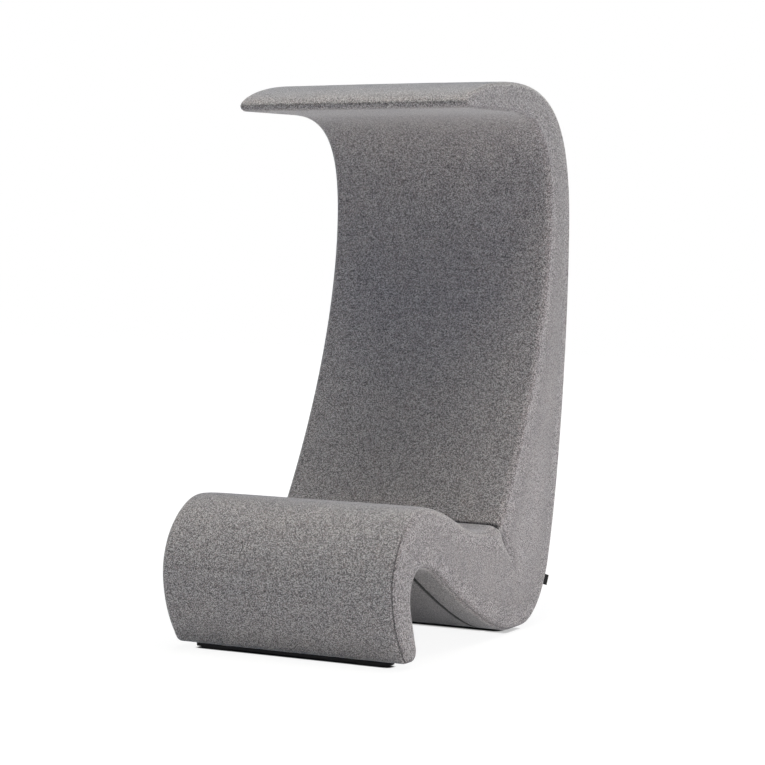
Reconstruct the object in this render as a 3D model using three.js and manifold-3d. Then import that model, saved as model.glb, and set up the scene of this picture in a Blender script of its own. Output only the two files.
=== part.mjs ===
// High back lounge chair with a canopy: plywood ribs and rails, boards and webbing, foam pads,
// a sewn cover with a zip, and two low base boards on glides. Millimetres, x across, y to the rear, z up.
import * as THREE from 'three';
import { mergeVertices } from 'three/addons/utils/BufferGeometryUtils.js';
import Module from 'manifold-3d';

const wasm = await Module();
wasm.setup();

// Overall size
const overallWidth = 682;
const overallDepth = 1065;
const overallHeight = 1488;

// Shell: sizes that stay as they are when the overall sizes change
const backThickness = 146;
const canopyThickness = 80;
const noseRadius = 20;
const noseRise = 15;
const footFlat = 25;
const toeReach = 34;
const toeRise = 23;
const ankleReach = 24;
const ankleRise = 39;
const heelFlat = 70;
const frontClearance = 14;
const rearClearance = 9;

// Side profile: each point's setback from the front and height, as shares of the overall depth and height
const profileShares = {
  foot: [0.0855, 0],
  shin: [0, 0.1398],
  knee: [0.1601, 0.2673],
  dip: [0.5078, 0.2003],
  crease: [0.5768, 0.2049],
  head: [0, 0.7715],
  canopyRoot: [0.6214, 0],
  nose: [0.3628, 0],
  crown: [0.649, 0],
  rear: [0, 0.7355],
  heel: [0.887, 0.1214],
  footBack: [0.724, 0],
  under: [0.2582, 0.1324],
  arch: [0.1549, 0.1626],
  calf: [0.1042, 0.0988],
};

// Layers from the outside in
const clearance = 0.3;
const coverThickness = 2;
const seatPad = 50;
const backPad = 45;
const shinPad = 34;
const canopyPad = 14;
const rearPad = 20;
const underPad = 14;
const footPad = 10;
const nosePad = 8;
const edgeRadius = 20;
const canopyEdgeRadius = 14;
const footEdgeRadius = 15;
const noseEdgeRadius = 9;
const sidePadMargin = 4;
const boardThickness = 3;
const webbingThickness = 2.5;
const webbingWidth = 80;
const seamAngle = Math.PI / 4;
const frontSeamInset = 3;
const rearSeamInset = 15;

// Ribs, rails and their joints
const ribThickness = 18;
const spliceShare = 0.43;
const canopyFrameInset = 65;
const railSetback = 10;
const railThickness = 22;
const railHeight = 64;
const canopyRailThickness = 12;
const canopyRailHeight = 44;
const tenonShoulder = 10;
const footRailHeight = 54;
const footRailThickness = 16;
const rearFootRailThickness = 38;
const footTenonRise = 26;
const holeRadius = 38;
const leastHoleRadius = 14;
const holeWall = 20;
const holePitch = 22;
const spliceThickness = 12;
const spliceWidth = 90;
const spliceLength = 250;
const boltSpacing = 150;
const boltRadius = 4;
const boltHeadRadius = 9;
const boltHeadThickness = 4;

// Base boards, glides and screws
const frontBoardDepth = 36;
const frontBoardThickness = 8;
const frontBoardInset = 53;
const rearBoardDepth = 66;
const rearBoardThickness = 4.5;
const rearBoardInset = 47;
const boardCorner = 12;
const glideLength = 82;
const frontGlideDepth = 26;
const rearGlideDepth = 50;
const glideCorner = 8;
const frontGlideInset = 73;
const rearGlideInset = 60;
const screwInset = 151;
const screwRadius = 2.5;
const screwHeadRadius = 4.5;
const screwHeadThickness = 2.5;
const screwLength = 34;

// Zip and label tab
const zipInset = 83;
const zipSlot = 5;
const zipGap = 1.1;
const tapeDepth = 0.6;
const tapeThickness = 1.4;
const coilWidth = 1;
const sliderLength = 12;
const sliderWidth = 9;
const sliderPlate = 1.7;
const sliderKeelWidth = 6;
const sliderKeel = 1.2;
const bailPost = 0.9;
const bailBarRadius = 0.8;
const pullEyeRadius = 2.1;
const pullEyeBore = 1.25;
const pullWidth = 5;
const pullLength = 24;
const pullThickness = 1.2;
const pullHoleRadius = 1.3;
const stopLength = 3;
const zipEndMargin = 14;
const sliderTravel = 65;
const tabHeight = 30;
const tabReach = 12;
const tabThickness = 1.2;
const tabFloorHeight = 103;

const panelBands = 2;
const padBands = 2;
const cornerSteps = 2;
const roundSides = 10;
const overrun = 1;

// Materials
const materials = {
  cover: new THREE.MeshStandardMaterial({ color: 0x8f8b8a, roughness: 0.95, metalness: 0 }),
  foam: new THREE.MeshStandardMaterial({ color: 0xd9d2b8, roughness: 0.9, metalness: 0 }),
  plywood: new THREE.MeshStandardMaterial({ color: 0xc9a876, roughness: 0.65, metalness: 0 }),
  timber: new THREE.MeshStandardMaterial({ color: 0xd2b48a, roughness: 0.7, metalness: 0 }),
  webbing: new THREE.MeshStandardMaterial({ color: 0x3a3a3c, roughness: 0.9, metalness: 0 }),
  steel: new THREE.MeshStandardMaterial({ color: 0xa8abb0, roughness: 0.35, metalness: 0.9 }),
  black: new THREE.MeshStandardMaterial({ color: 0x161616, roughness: 0.6, metalness: 0 }),
};

// Side profile: anchors carry the pad thickness and the edge radius beside them
function anchor(setback, height, pad, edge = edgeRadius) {
  return { at: new THREE.Vector2(setback, height), pad, edge };
}
const setbackOf = (name) => profileShares[name][0] * overallDepth;
const heightOf = (name) => profileShares[name][1] * overallHeight;
const shared = (name, pad) => anchor(setbackOf(name), heightOf(name), pad);
const canopyHeight = overallHeight - canopyThickness;
const noseSetback = setbackOf('nose');
const footSetback = setbackOf('foot');
const rearFootBack = setbackOf('footBack');
const frontFootMiddle = footSetback + footFlat / 2;
const rearFootMiddle = rearFootBack - heelFlat / 2;

const footFront = anchor(footSetback, frontClearance, footPad, footEdgeRadius);
const footRear = anchor(footSetback + footFlat, frontClearance, footPad, footEdgeRadius);
const shinCorner = anchor(footSetback - toeReach, frontClearance + toeRise, footPad);
const shin = shared('shin', shinPad);
const knee = shared('knee', seatPad);
const dip = shared('dip', seatPad);
const crease = shared('crease', seatPad);
const head = anchor(overallDepth - backThickness, heightOf('head'), backPad);
const canopyRoot = anchor(setbackOf('canopyRoot'), canopyHeight, canopyPad, canopyEdgeRadius);
const lip = anchor(noseSetback + noseRadius, canopyHeight, nosePad, noseEdgeRadius);
const nose = anchor(noseSetback, canopyHeight + noseRise, nosePad, noseEdgeRadius);
const crown = anchor(setbackOf('crown'), overallHeight, canopyPad, canopyEdgeRadius);
const rear = anchor(overallDepth, heightOf('rear'), rearPad);
const heel = shared('heel', rearPad);
const footBack = anchor(rearFootBack, rearClearance, underPad);
const footFore = anchor(rearFootBack - heelFlat, rearClearance, underPad);
const under = shared('under', underPad);
const arch = shared('arch', underPad);
const calf = shared('calf', underPad);
const ankle = anchor(footRear.at.x + ankleReach, frontClearance + ankleRise, underPad);
const frontSeam = anchor(footSetback + frontSeamInset, frontClearance, footPad, footEdgeRadius);
const rearSeam = anchor(rearFootBack - rearSeamInset, rearClearance, underPad);

// A bend leaves and arrives along handles given as shares of the span between its two anchors
function bend(from, to, leaveShares, arriveShares, steps) {
  const span = to.at.clone().sub(from.at);
  const leave = from.at.clone().add(span.clone().multiply(new THREE.Vector2(...leaveShares)));
  const arrive = to.at.clone().sub(span.clone().multiply(new THREE.Vector2(...arriveShares)));
  return { from, to, steps, curve: new THREE.CubicBezierCurve(from.at, leave, arrive, to.at) };
}

function straight(from, to, steps) {
  return { from, to, steps, curve: new THREE.LineCurve(from.at, to.at) };
}

const frontSegments = [
  straight(frontSeam, footFront, 1),
  bend(footFront, shinCorner, [0.53, 0], [0.235, 0.583], 4),
  bend(shinCorner, shin, [0.48, 0.22], [0, 0.41], 5),
  bend(shin, knee, [0, 0.444], [0.57, 0], 9),
  bend(knee, dip, [0.38, 0], [0.38, 0], 9),
  bend(dip, crease, [0.33, 0], [0.3, 0.5], 3),
];
const backSegments = [
  bend(crease, head, [0.488, 0.264], [0, 0.346], 10),
  bend(head, canopyRoot, [0, 0.573], [0.836, 0], 10),
  straight(canopyRoot, lip, 3),
  bend(lip, nose, [0.55, 0], [0, 0.55], 4),
];
const rearSegments = [
  bend(nose, crown, [0, 0.36], [0.61, 0], 8),
  bend(crown, rear, [0.638, 0], [0, 0.782], 10),
  bend(rear, heel, [0, 0.315], [0.571, 0.2415], 9),
  bend(heel, footBack, [0.115, 0.437], [0.5, 0], 7),
  straight(footBack, rearSeam, 1),
];
const underSegments = [
  straight(rearSeam, footFore, 1),
  bend(footFore, under, [0.24, 0], [0.301, 0.427], 8),
  bend(under, arch, [0.318, 0.489], [0.364, 0], 4),
  bend(arch, calf, [0.75, 0], [-0.247, 0.505], 7),
  straight(calf, ankle, 1),
  bend(ankle, footRear, [-0.21, 0.46], [0.79, 0], 5),
  straight(footRear, frontSeam, 1),
];

// Stations along a run: a point of the profile, its inward direction, the pad and the edge radius there
function inwardOf(tangent) {
  return new THREE.Vector2(tangent.y, -tangent.x).normalize();
}

function runOf(segments) {
  const stations = [];
  segments.forEach((segment, index) => {
    const first = index === 0 ? 0 : 1;
    for (let step = first; step <= segment.steps; step += 1) {
      const share = step / segment.steps;
      stations.push({
        at: segment.curve.getPoint(share),
        inward: inwardOf(segment.curve.getTangent(share)),
        pad: THREE.MathUtils.lerp(segment.from.pad, segment.to.pad, share),
        edge: THREE.MathUtils.lerp(segment.from.edge, segment.to.edge, share),
      });
    }
  });
  stations.forEach((station, index) => {
    const before = stations[index - 1];
    station.distance = before ? before.distance + before.at.distanceTo(station.at) : 0;
  });
  return stations;
}

const frontRun = runOf(frontSegments);
const backRun = runOf(backSegments);
const rearRun = runOf(rearSegments);
const underRun = runOf(underSegments);

// Both sides of the seat crease share one mitred direction, so that the layers meet there
function mitre(before, after) {
  const middle = before.inward.clone().add(after.inward).normalize();
  middle.divideScalar(middle.dot(before.inward));
  before.inward = middle;
  after.inward = middle.clone();
}
mitre(frontRun.at(-1), backRun[0]);

const lengthOf = (run) => run.at(-1).distance;

function stationAt(run, distance) {
  const next = Math.max(1, run.findIndex((station) => station.distance >= distance));
  const low = run[next - 1];
  const high = run[next];
  const share = (distance - low.distance) / (high.distance - low.distance);
  return {
    at: low.at.clone().lerp(high.at, share),
    inward: low.inward.clone().lerp(high.inward, share),
    pad: THREE.MathUtils.lerp(low.pad, high.pad, share),
    edge: THREE.MathUtils.lerp(low.edge, high.edge, share),
    distance,
  };
}

// The distance along a run at which it passes one of its own anchors
function distanceAt(run, point) {
  return run.find((station) => station.at.distanceTo(point.at) === 0).distance;
}

function slice(run, start, end) {
  const inside = run.filter((station) => station.distance > start && station.distance < end);
  return [stationAt(run, start), ...inside, stationAt(run, end)];
}

// The distance along a run where its setback ('x') or height ('y') first passes a value
function distanceWhere(run, axis, value) {
  for (let index = 1; index < run.length; index += 1) {
    const low = run[index - 1];
    const high = run[index];
    if ((low.at[axis] - value) * (high.at[axis] - value) <= 0) {
      const share = (value - low.at[axis]) / (high.at[axis] - low.at[axis]);
      return THREE.MathUtils.lerp(low.distance, high.distance, share);
    }
  }
  return 0;
}

// Layer depths below the outer surface, each worked out at a station
const foamOuter = () => coverThickness + clearance;
const foamInner = (station) => foamOuter() + station.pad;
const linerOuter = (station) => foamInner(station) + clearance;
const boardInner = (station) => linerOuter(station) + boardThickness;
const webbingInner = (station) => linerOuter(station) + webbingThickness;
const frameEdge = (station) => boardInner(station) + clearance;
const below = (station, depth) => station.at.clone().add(station.inward.clone().multiplyScalar(depth));

// Widths across the chair
const halfWidth = overallWidth / 2;
const sidePadInner = halfWidth - edgeRadius - sidePadMargin;
const ribOuter = sidePadInner - clearance;
const ribInner = ribOuter - ribThickness;
const zipSetover = halfWidth - zipInset;

// A closed skin through rings of equal length, capped at both ends by their flat contours
function skinOf(rings, firstContour, lastContour) {
  const count = rings[0].length;
  const positions = [];
  const index = [];
  rings.forEach((ring) => ring.forEach((point) => positions.push(point.x, point.y, point.z)));
  for (let ring = 0; ring < rings.length - 1; ring += 1) {
    for (let side = 0; side < count; side += 1) {
      const next = (side + 1) % count;
      const low = ring * count;
      const high = low + count;
      index.push(low + side, low + next, high + next, low + side, high + next, high + side);
    }
  }
  const caps = [[firstContour, 0, true], [lastContour, (rings.length - 1) * count, false]];
  caps.forEach(([contour, start, reversed]) => {
    const clockwise = THREE.ShapeUtils.isClockWise(contour);
    THREE.ShapeUtils.triangulateShape(contour, []).forEach(([a, b, c]) => {
      const flip = reversed !== clockwise;
      index.push(...(flip ? [start + a, start + c, start + b] : [start + a, start + b, start + c]));
    });
  });
  return outwardGeometry(positions, index);
}

function outwardGeometry(positions, index) {
  const corner = (at) => new THREE.Vector3(...positions.slice(3 * at, 3 * at + 3));
  let volume = 0;
  for (let face = 0; face < index.length; face += 3) {
    const [a, b, c] = [corner(index[face]), corner(index[face + 1]), corner(index[face + 2])];
    volume += a.dot(b.cross(c));
  }
  const ordered = volume < 0 ? index.slice().reverse() : index;
  const geometry = new THREE.BufferGeometry();
  geometry.setAttribute('position', new THREE.Float32BufferAttribute(positions, 3));
  geometry.setIndex(ordered);
  geometry.computeVertexNormals();
  return geometry;
}

// A strip follows a run of stations; its section is a list of [x, depth] corners at each station
function sectionStrip(stations, section) {
  const contours = stations.map((station) => section(station).map(([x, y]) => new THREE.Vector2(x, y)));
  const rings = contours.map((contour, index) => contour.map((corner) => {
    const place = below(stations[index], corner.y);
    return new THREE.Vector3(corner.x, place.x, place.y);
  }));
  return skinOf(rings, contours[0], contours.at(-1));
}

function strip(stations, left, right, outer, inner) {
  return sectionStrip(stations, (station) => [
    [left(station), outer(station)],
    [right(station), outer(station)],
    [right(station), inner(station)],
    [left(station), inner(station)],
  ]);
}

// Angle at which a skin meets the seam: half a gap before it (-1) or after it (1) round the edge roll
const besideSeam = (station, turn) => seamAngle + (turn * clearance) / 2 / (station.edge - coverThickness);

// Where a skin at some depth lies at an angle round the edge roll
function rollCorner(station, side, depth, angle) {
  const radius = station.edge - depth;
  const across = halfWidth - station.edge + radius * Math.sin(angle);
  return [side * across, station.edge - radius * Math.cos(angle)];
}

// One edge of a panel from its flat face out to the seam
function rolledEdge(side, depth, bands) {
  return (station) => Array.from({ length: bands + 1 }, (_, band) => (
    rollCorner(station, side, depth, (band / bands) * besideSeam(station, -1))
  ));
}

// A panel's edge is either rolled round to the seam on its side, or plain at a place across the chair
function coverPanel(stations, plain) {
  const edge = (side, depth, bands) => (
    plain[side] ? (station) => [[plain[side](station), depth]] : rolledEdge(side, depth, bands)
  );
  const [outerLeft, outerRight] = [edge(-1, 0, panelBands), edge(1, 0, panelBands)];
  const [innerLeft, innerRight] = [edge(-1, coverThickness, 1), edge(1, coverThickness, 1)];
  return sectionStrip(stations, (station) => [
    ...outerLeft(station).reverse(),
    ...outerRight(station),
    ...innerRight(station).reverse(),
    ...innerLeft(station),
  ]);
}

// A ring of the closed side outline at one inset and one distance across the chair
const outline = [...frontRun, ...backRun.slice(1), ...rearRun.slice(1), ...underRun.slice(1, -1)];

function sideRing(side, inset, across) {
  return outline.map((station) => {
    const place = below(station, inset(station));
    return new THREE.Vector3(side * across(station), place.x, place.y);
  });
}

function sideRoll(side, depth, bands, start) {
  const rings = [];
  for (let band = 0; band <= bands; band += 1) {
    const corner = (station) => {
      const angle = THREE.MathUtils.lerp(start(station), Math.PI / 2, band / bands);
      return rollCorner(station, 1, depth, angle);
    };
    rings.push(sideRing(side, (station) => corner(station)[1], (station) => corner(station)[0]));
  }
  return rings;
}

const flatten = (ring) => ring.map((point) => new THREE.Vector2(point.y, point.z));

function sideCover(side) {
  const seam = (station) => besideSeam(station, 1);
  const outer = sideRoll(side, 0, panelBands, seam).reverse();
  const rings = [...outer, ...sideRoll(side, coverThickness, 1, seam)];
  return skinOf(rings, flatten(rings[0]), flatten(rings.at(-1)));
}

function sidePad(side) {
  const start = sideRing(side, foamOuter, () => sidePadInner);
  const rings = [start, ...sideRoll(side, foamOuter(), padBands, () => 0)];
  return skinOf(rings, flatten(rings[0]), flatten(rings.at(-1)));
}

// Solids for joins and cuts
function solidOf(geometry) {
  const bare = geometry.clone();
  bare.deleteAttribute('normal');
  bare.deleteAttribute('uv');
  const merged = mergeVertices(bare);
  return new wasm.Manifold(new wasm.Mesh({
    numProp: 3,
    vertProperties: merged.attributes.position.array,
    triVerts: new Uint32Array(merged.index.array),
  }));
}

function geometryOf(solid) {
  const mesh = solid.getMesh();
  const geometry = new THREE.BufferGeometry();
  geometry.setAttribute('position', new THREE.BufferAttribute(new Float32Array(mesh.vertProperties), 3));
  geometry.setIndex(new THREE.BufferAttribute(new Uint32Array(mesh.triVerts), 1));
  geometry.computeVertexNormals();
  return geometry;
}

const chair = new THREE.Group();
chair.position.y = -overallDepth / 2;

function place(name, geometry, material, parent = chair) {
  const mesh = new THREE.Mesh(geometry, material);
  mesh.name = name;
  parent.add(mesh);
  return mesh;
}

// Sewn cover: panels along the runs, two side panels, and the zip flap beside the zip
// The zip runs from just ahead of the rear base board to the ankle, and a plain seam goes on from there
const screwSetover = halfWidth - screwInset;
const screwPoints = [
  [-screwSetover, frontFootMiddle],
  [screwSetover, frontFootMiddle],
  [-screwSetover, rearFootMiddle],
  [screwSetover, rearFootMiddle],
];
const zipStart = distanceWhere(underRun, 'x', rearFootMiddle - rearBoardDepth / 2 - zipEndMargin);
const zipEnd = distanceAt(underRun, ankle);

function screwHole(x, y) {
  const radius = screwRadius + clearance;
  const hole = new THREE.CylinderGeometry(radius, radius, 2 * screwLength, roundSides);
  hole.rotateX(Math.PI / 2);
  hole.translate(x, y, 0);
  return solidOf(hole);
}

function makeCover() {
  const beside = (station) => station.distance < zipStart || station.distance > zipEnd;
  const slot = (station) => (beside(station) ? clearance : zipSlot) / 2;
  const zipLow = (station) => zipSetover - slot(station);
  const zipHigh = (station) => zipSetover + slot(station);
  const trimmed = (run) => slice(run, clearance / 2, lengthOf(run) - clearance / 2);
  const wide = (run) => coverPanel(trimmed(run), {});
  place('cover_leg_and_seat', wide(frontRun), materials.cover);
  place('cover_backrest', wide(backRun), materials.cover);
  place('cover_top_and_rear', wide(rearRun), materials.cover);
  const underStations = [
    ...slice(underRun, clearance / 2, zipStart - zipSlot),
    ...slice(underRun, zipStart, zipEnd),
    ...slice(underRun, zipEnd + zipSlot, lengthOf(underRun) - clearance / 2),
  ];
  const panel = solidOf(coverPanel(underStations, { 1: zipLow }));
  const holes = screwPoints.map(([x, y]) => screwHole(x, y));
  const underside = holes.reduce((solid, hole) => solid.subtract(hole), panel);
  place('cover_underside', geometryOf(underside), materials.cover);
  place('cover_zip_flap', coverPanel(underStations, { '-1': zipHigh }), materials.cover);
  place('cover_side_left', sideCover(1), materials.cover);
  place('cover_side_right', sideCover(-1), materials.cover);
}

// Straight stretch of the zip on the rear of the leg, where the slider runs
const zipRun = ankle.at.clone().sub(calf.at);
const zipAngle = Math.atan2(zipRun.y, zipRun.x);
const sliderRest = 1.5 * stopLength + clearance + sliderLength / 2;

function zipFrame() {
  const frame = new THREE.Group();
  frame.position.set(zipSetover, ankle.at.x, ankle.at.y);
  frame.rotation.x = zipAngle;
  chair.add(frame);
  return frame;
}

// Foam pads, with a channel for the part of the slider that runs inside the cover
const padLeft = () => -ribOuter;
const padRight = () => ribOuter;
const keelDepth = tapeDepth + tapeThickness + clearance;

function makeFoam() {
  const run = (stations) => strip(stations, padLeft, padRight, foamOuter, foamInner);
  const front = slice(frontRun, distanceAt(frontRun, footFront), lengthOf(frontRun) - clearance / 2);
  const back = slice(backRun, clearance / 2, lengthOf(backRun) - clearance / 2);
  const top = slice(rearRun, clearance / 2, distanceAt(rearRun, footBack));
  const underneath = slice(underRun, distanceAt(underRun, footFore), distanceAt(underRun, footRear));
  place('foam_leg_and_seat', run(front), materials.foam);
  place('foam_backrest', run(back), materials.foam);
  place('foam_top_and_rear', run(top), materials.foam);
  const channelLength = sliderTravel + sliderLength + sliderRest;
  const channel = new THREE.BoxGeometry(
    sliderKeelWidth + 2 * overrun,
    channelLength,
    2 * (keelDepth + sliderKeel + clearance),
  );
  const matrix = new THREE.Matrix4().makeRotationX(zipAngle);
  matrix.multiply(new THREE.Matrix4().makeTranslation(0, -channelLength / 2, 0));
  matrix.premultiply(new THREE.Matrix4().makeTranslation(zipSetover, ankle.at.x, ankle.at.y));
  channel.applyMatrix4(matrix);
  const cut = solidOf(run(underneath)).subtract(solidOf(channel));
  place('foam_underside', geometryOf(cut), materials.foam);
  place('foam_side_left', sidePad(1), materials.foam);
  place('foam_side_right', sidePad(-1), materials.foam);
}

// Bent boards and elastic webbing that carry the pads between the ribs
function makeLiners() {
  const board = (name, run, start, end) => {
    const geometry = strip(slice(run, start, end), padLeft, padRight, linerOuter, boardInner);
    place(name, geometry, materials.plywood);
  };
  const frameReach = noseSetback + canopyFrameInset;
  const canopyStart = distanceAt(backRun, head) + webbingWidth;
  board('board_leg', frontRun, distanceWhere(frontRun, 'y', ankle.at.y), distanceAt(frontRun, knee));
  board('board_canopy', backRun, canopyStart, distanceWhere(backRun, 'x', frameReach));
  board('board_rear', rearRun, distanceWhere(rearRun, 'x', frameReach), distanceAt(rearRun, footBack));
  board('board_underside', underRun, distanceAt(underRun, footFore), distanceAt(underRun, ankle));
  const strap = (name, run, share) => {
    const middle = share * lengthOf(run);
    const stations = slice(run, middle - webbingWidth / 2, middle + webbingWidth / 2);
    place(name, strip(stations, padLeft, padRight, linerOuter, webbingInner), materials.webbing);
  };
  const seatShares = [0.64, 0.78, 0.92];
  const backShares = [0.07, 0.2, 0.33, 0.46];
  seatShares.forEach((share, index) => strap(`seat_webbing_${index + 1}`, frontRun, share));
  backShares.forEach((share, index) => strap(`back_webbing_${index + 1}`, backRun, share));
}

// Ribs: the two plywood sides, each a lower and an upper length cut along the frame line
function edgePoints(stations) {
  return stations.map((station) => below(station, frameEdge(station)));
}

const spliceHeight = spliceShare * overallHeight;

function ribOutlines() {
  const frameReach = noseSetback + canopyFrameInset;
  const lowCut = spliceHeight - clearance / 2;
  const highCut = spliceHeight + clearance / 2;
  const lower = edgePoints([
    ...slice(rearRun, distanceWhere(rearRun, 'y', lowCut), lengthOf(rearRun)),
    ...underRun.slice(1, -1),
    ...frontRun,
    ...slice(backRun, 0, distanceWhere(backRun, 'y', lowCut)).slice(1),
  ]);
  const backStart = distanceWhere(backRun, 'y', highCut);
  const upper = edgePoints([
    ...slice(backRun, backStart, distanceWhere(backRun, 'x', frameReach)),
    ...slice(rearRun, distanceWhere(rearRun, 'x', frameReach), distanceWhere(rearRun, 'y', highCut)),
  ]);
  return { lower, upper };
}

// The point halfway between both edges of the ribs, at a height of the back or at a setback of the seat
function middleOf(near, far, axis, value) {
  const [front, back] = [near, far].map((run) => stationAt(run, distanceWhere(run, axis, value)));
  return below(front, frameEdge(front)).lerp(below(back, frameEdge(back)), 1 / 2);
}

const backMiddle = (height) => middleOf(backRun, rearRun, 'y', height);
const seatMiddle = (setback) => middleOf(frontRun, underRun, 'x', setback);

function circlePoints(centre, radius) {
  const points = [];
  for (let side = 0; side < roundSides; side += 1) {
    const angle = (side / roundSides) * 2 * Math.PI;
    points.push(new THREE.Vector2(Math.cos(angle), Math.sin(angle)).multiplyScalar(radius).add(centre));
  }
  return points;
}

function boxPoints(centre, angle, length, width) {
  const along = new THREE.Vector2(Math.cos(angle), Math.sin(angle)).multiplyScalar(length / 2);
  const across = new THREE.Vector2(-Math.sin(angle), Math.cos(angle)).multiplyScalar(width / 2);
  const corner = (a, b) => centre.clone().addScaledVector(along, a).addScaledVector(across, b);
  return [corner(-1, -1), corner(1, -1), corner(1, 1), corner(-1, 1)];
}

// A rail lies behind the liner at a station, square to the profile there, with a tenon at each end
function railAt(name, run, distance) {
  const station = stationAt(run, distance);
  const inward = station.inward.clone().normalize();
  const angle = Math.atan2(inward.x, -inward.y);
  const centre = below(station, frameEdge(station)).addScaledVector(inward, railSetback + railThickness / 2);
  const tenon = [-railHeight / 2 + tenonShoulder, railHeight / 2 - tenonShoulder];
  return { name, centre, angle, height: railHeight, thickness: railThickness, tenon };
}

// The canopy rail lies halfway through the thin front of the ribs
function canopyRail() {
  const setback = noseSetback + canopyFrameInset + canopyRailHeight;
  const centre = middleOf(backRun, rearRun, 'x', setback);
  const ahead = middleOf(backRun, rearRun, 'x', setback - canopyRailHeight / 2);
  const angle = Math.atan2(centre.y - ahead.y, centre.x - ahead.x);
  const tenon = [-canopyRailHeight / 2 + tenonShoulder, canopyRailHeight / 2 - tenonShoulder];
  const size = { height: canopyRailHeight, thickness: canopyRailThickness };
  return { name: 'rail_canopy', centre, angle, tenon, ...size };
}

function footRailAt(name, setback, floor, thickness) {
  const low = floor + coverThickness + clearance;
  const centre = new THREE.Vector2(setback, low + footRailHeight / 2);
  const tenon = [-footRailHeight / 2 + footTenonRise, footRailHeight / 2 - tenonShoulder];
  return { name, centre, angle: Math.PI / 2, height: footRailHeight, thickness, tenon, floor };
}

function railList() {
  const byShare = (name, run, share) => railAt(name, run, share * lengthOf(run));
  const aboveSplice = spliceHeight + spliceLength / 2 + railHeight;
  return [
    byShare('rail_knee', frontRun, 0.47),
    byShare('rail_seat_rear', frontRun, 0.94),
    byShare('rail_lumbar', backRun, 0.14),
    byShare('rail_shoulder', backRun, 0.47),
    byShare('rail_crown', rearRun, 0.3),
    railAt('rail_back', rearRun, distanceWhere(rearRun, 'y', aboveSplice)),
    byShare('rail_heel', rearRun, 0.91),
    canopyRail(),
    footRailAt('rail_foot_front', frontFootMiddle, frontClearance, footRailThickness),
    footRailAt('rail_foot_rear', rearFootMiddle, rearClearance, rearFootRailThickness),
  ];
}

function railGeometry(rail) {
  const shoulder = ribInner - clearance;
  const end = ribOuter - clearance;
  const half = rail.height / 2;
  const [low, high] = rail.tenon;
  const right = [
    [shoulder, -half],
    [shoulder, low],
    [end, low],
    [end, high],
    [shoulder, high],
    [shoulder, half],
  ];
  const left = right.map(([x, y]) => [-x, y]).reverse();
  const shape = new THREE.Shape([...right, ...left].map(([x, y]) => new THREE.Vector2(x, y)));
  const geometry = new THREE.ExtrudeGeometry(shape, { depth: rail.thickness, bevelEnabled: false });
  geometry.translate(0, 0, -rail.thickness / 2);
  return geometry;
}

function makeRails(rails) {
  rails.forEach((rail) => {
    let geometry = railGeometry(rail);
    if (rail.floor !== undefined) {
      const pilots = [-1, 1].map((side) => pilotHole(side * screwSetover, rail.height));
      geometry = geometryOf(pilots.reduce((solid, pilot) => solid.subtract(pilot), solidOf(geometry)));
    }
    const mesh = place(rail.name, geometry, materials.timber);
    mesh.position.set(0, rail.centre.x, rail.centre.y);
    mesh.rotation.x = rail.angle;
  });
}

// A pilot hole rises from the lower edge of a foot rail for the base screw
function pilotHole(across, height) {
  const radius = screwRadius + clearance;
  const hole = new THREE.CylinderGeometry(radius, radius, 2 * screwLength, roundSides);
  hole.translate(across, -height / 2, 0);
  return solidOf(hole);
}

// Splices join each lower rib to its upper rib with two bolts
const spliceCentre = backMiddle(spliceHeight);
const spliceTop = backMiddle(spliceHeight + spliceLength / 2);
const spliceLine = spliceTop.clone().sub(backMiddle(spliceHeight - spliceLength / 2));
const spliceAngle = Math.atan2(spliceLine.y, spliceLine.x);

function boltPoint(end) {
  const along = new THREE.Vector2(Math.cos(spliceAngle), Math.sin(spliceAngle));
  return spliceCentre.clone().addScaledVector(along, (end * boltSpacing) / 2);
}

// Flat pieces drawn in the side view are turned to stand across the chair
function standAcross(mesh, x) {
  const axes = [[0, 1, 0], [0, 0, 1], [1, 0, 0]].map((axis) => new THREE.Vector3(...axis));
  mesh.quaternion.setFromRotationMatrix(new THREE.Matrix4().makeBasis(...axes));
  mesh.position.x = x;
}

function plate(points, holes, thickness) {
  const shape = new THREE.Shape(points);
  holes.forEach((hole) => shape.holes.push(new THREE.Path(hole)));
  return new THREE.ExtrudeGeometry(shape, { depth: thickness, bevelEnabled: false });
}

// Lightening holes follow the middle of the ribs, as large as the edges, rails and splice leave room for
function lighteningHoles(rails, outlines) {
  const seatEnd = setbackOf('crease');
  const backStart = (heightOf('dip') + rearClearance) / 2;
  const centres = [];
  for (let setback = setbackOf('knee'); setback < seatEnd; setback += holePitch) {
    centres.push(seatMiddle(setback));
  }
  for (let height = heightOf('crease') + holePitch; height < heightOf('head'); height += holePitch) {
    centres.push(backMiddle(height));
  }
  for (let setback = seatEnd; setback < setbackOf('heel'); setback += holePitch) {
    centres.push(new THREE.Vector2(setback, backStart));
  }
  const holes = [];
  centres.forEach((centre) => {
    const edges = [outlines.lower, outlines.upper].flatMap((edge) => edgeGaps(centre, edge));
    const inRails = rails.map((rail) => centre.distanceTo(rail.centre) - rail.height / 2);
    const inHoles = holes.map((hole) => centre.distanceTo(hole.centre) - hole.radius);
    const inSplice = [centre.distanceTo(spliceCentre) - spliceLength / 2];
    const radius = Math.min(holeRadius, Math.min(...edges, ...inRails, ...inHoles, ...inSplice) - holeWall);
    if (radius > leastHoleRadius) {
      holes.push({ centre, radius });
    }
  });
  return holes.map(({ centre, radius }) => {
    const points = circlePoints(centre, radius);
    points.low = centre.y < spliceHeight;
    return points;
  });
}

// Distances from a point to the sides of a closed outline
function edgeGaps(point, edge) {
  return edge.map((start, index) => {
    const side = new THREE.Line3(flatPoint(start), flatPoint(edge[(index + 1) % edge.length]));
    const nearest = side.closestPointToPoint(flatPoint(point), true, new THREE.Vector3());
    return nearest.distanceTo(flatPoint(point));
  });
}

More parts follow.
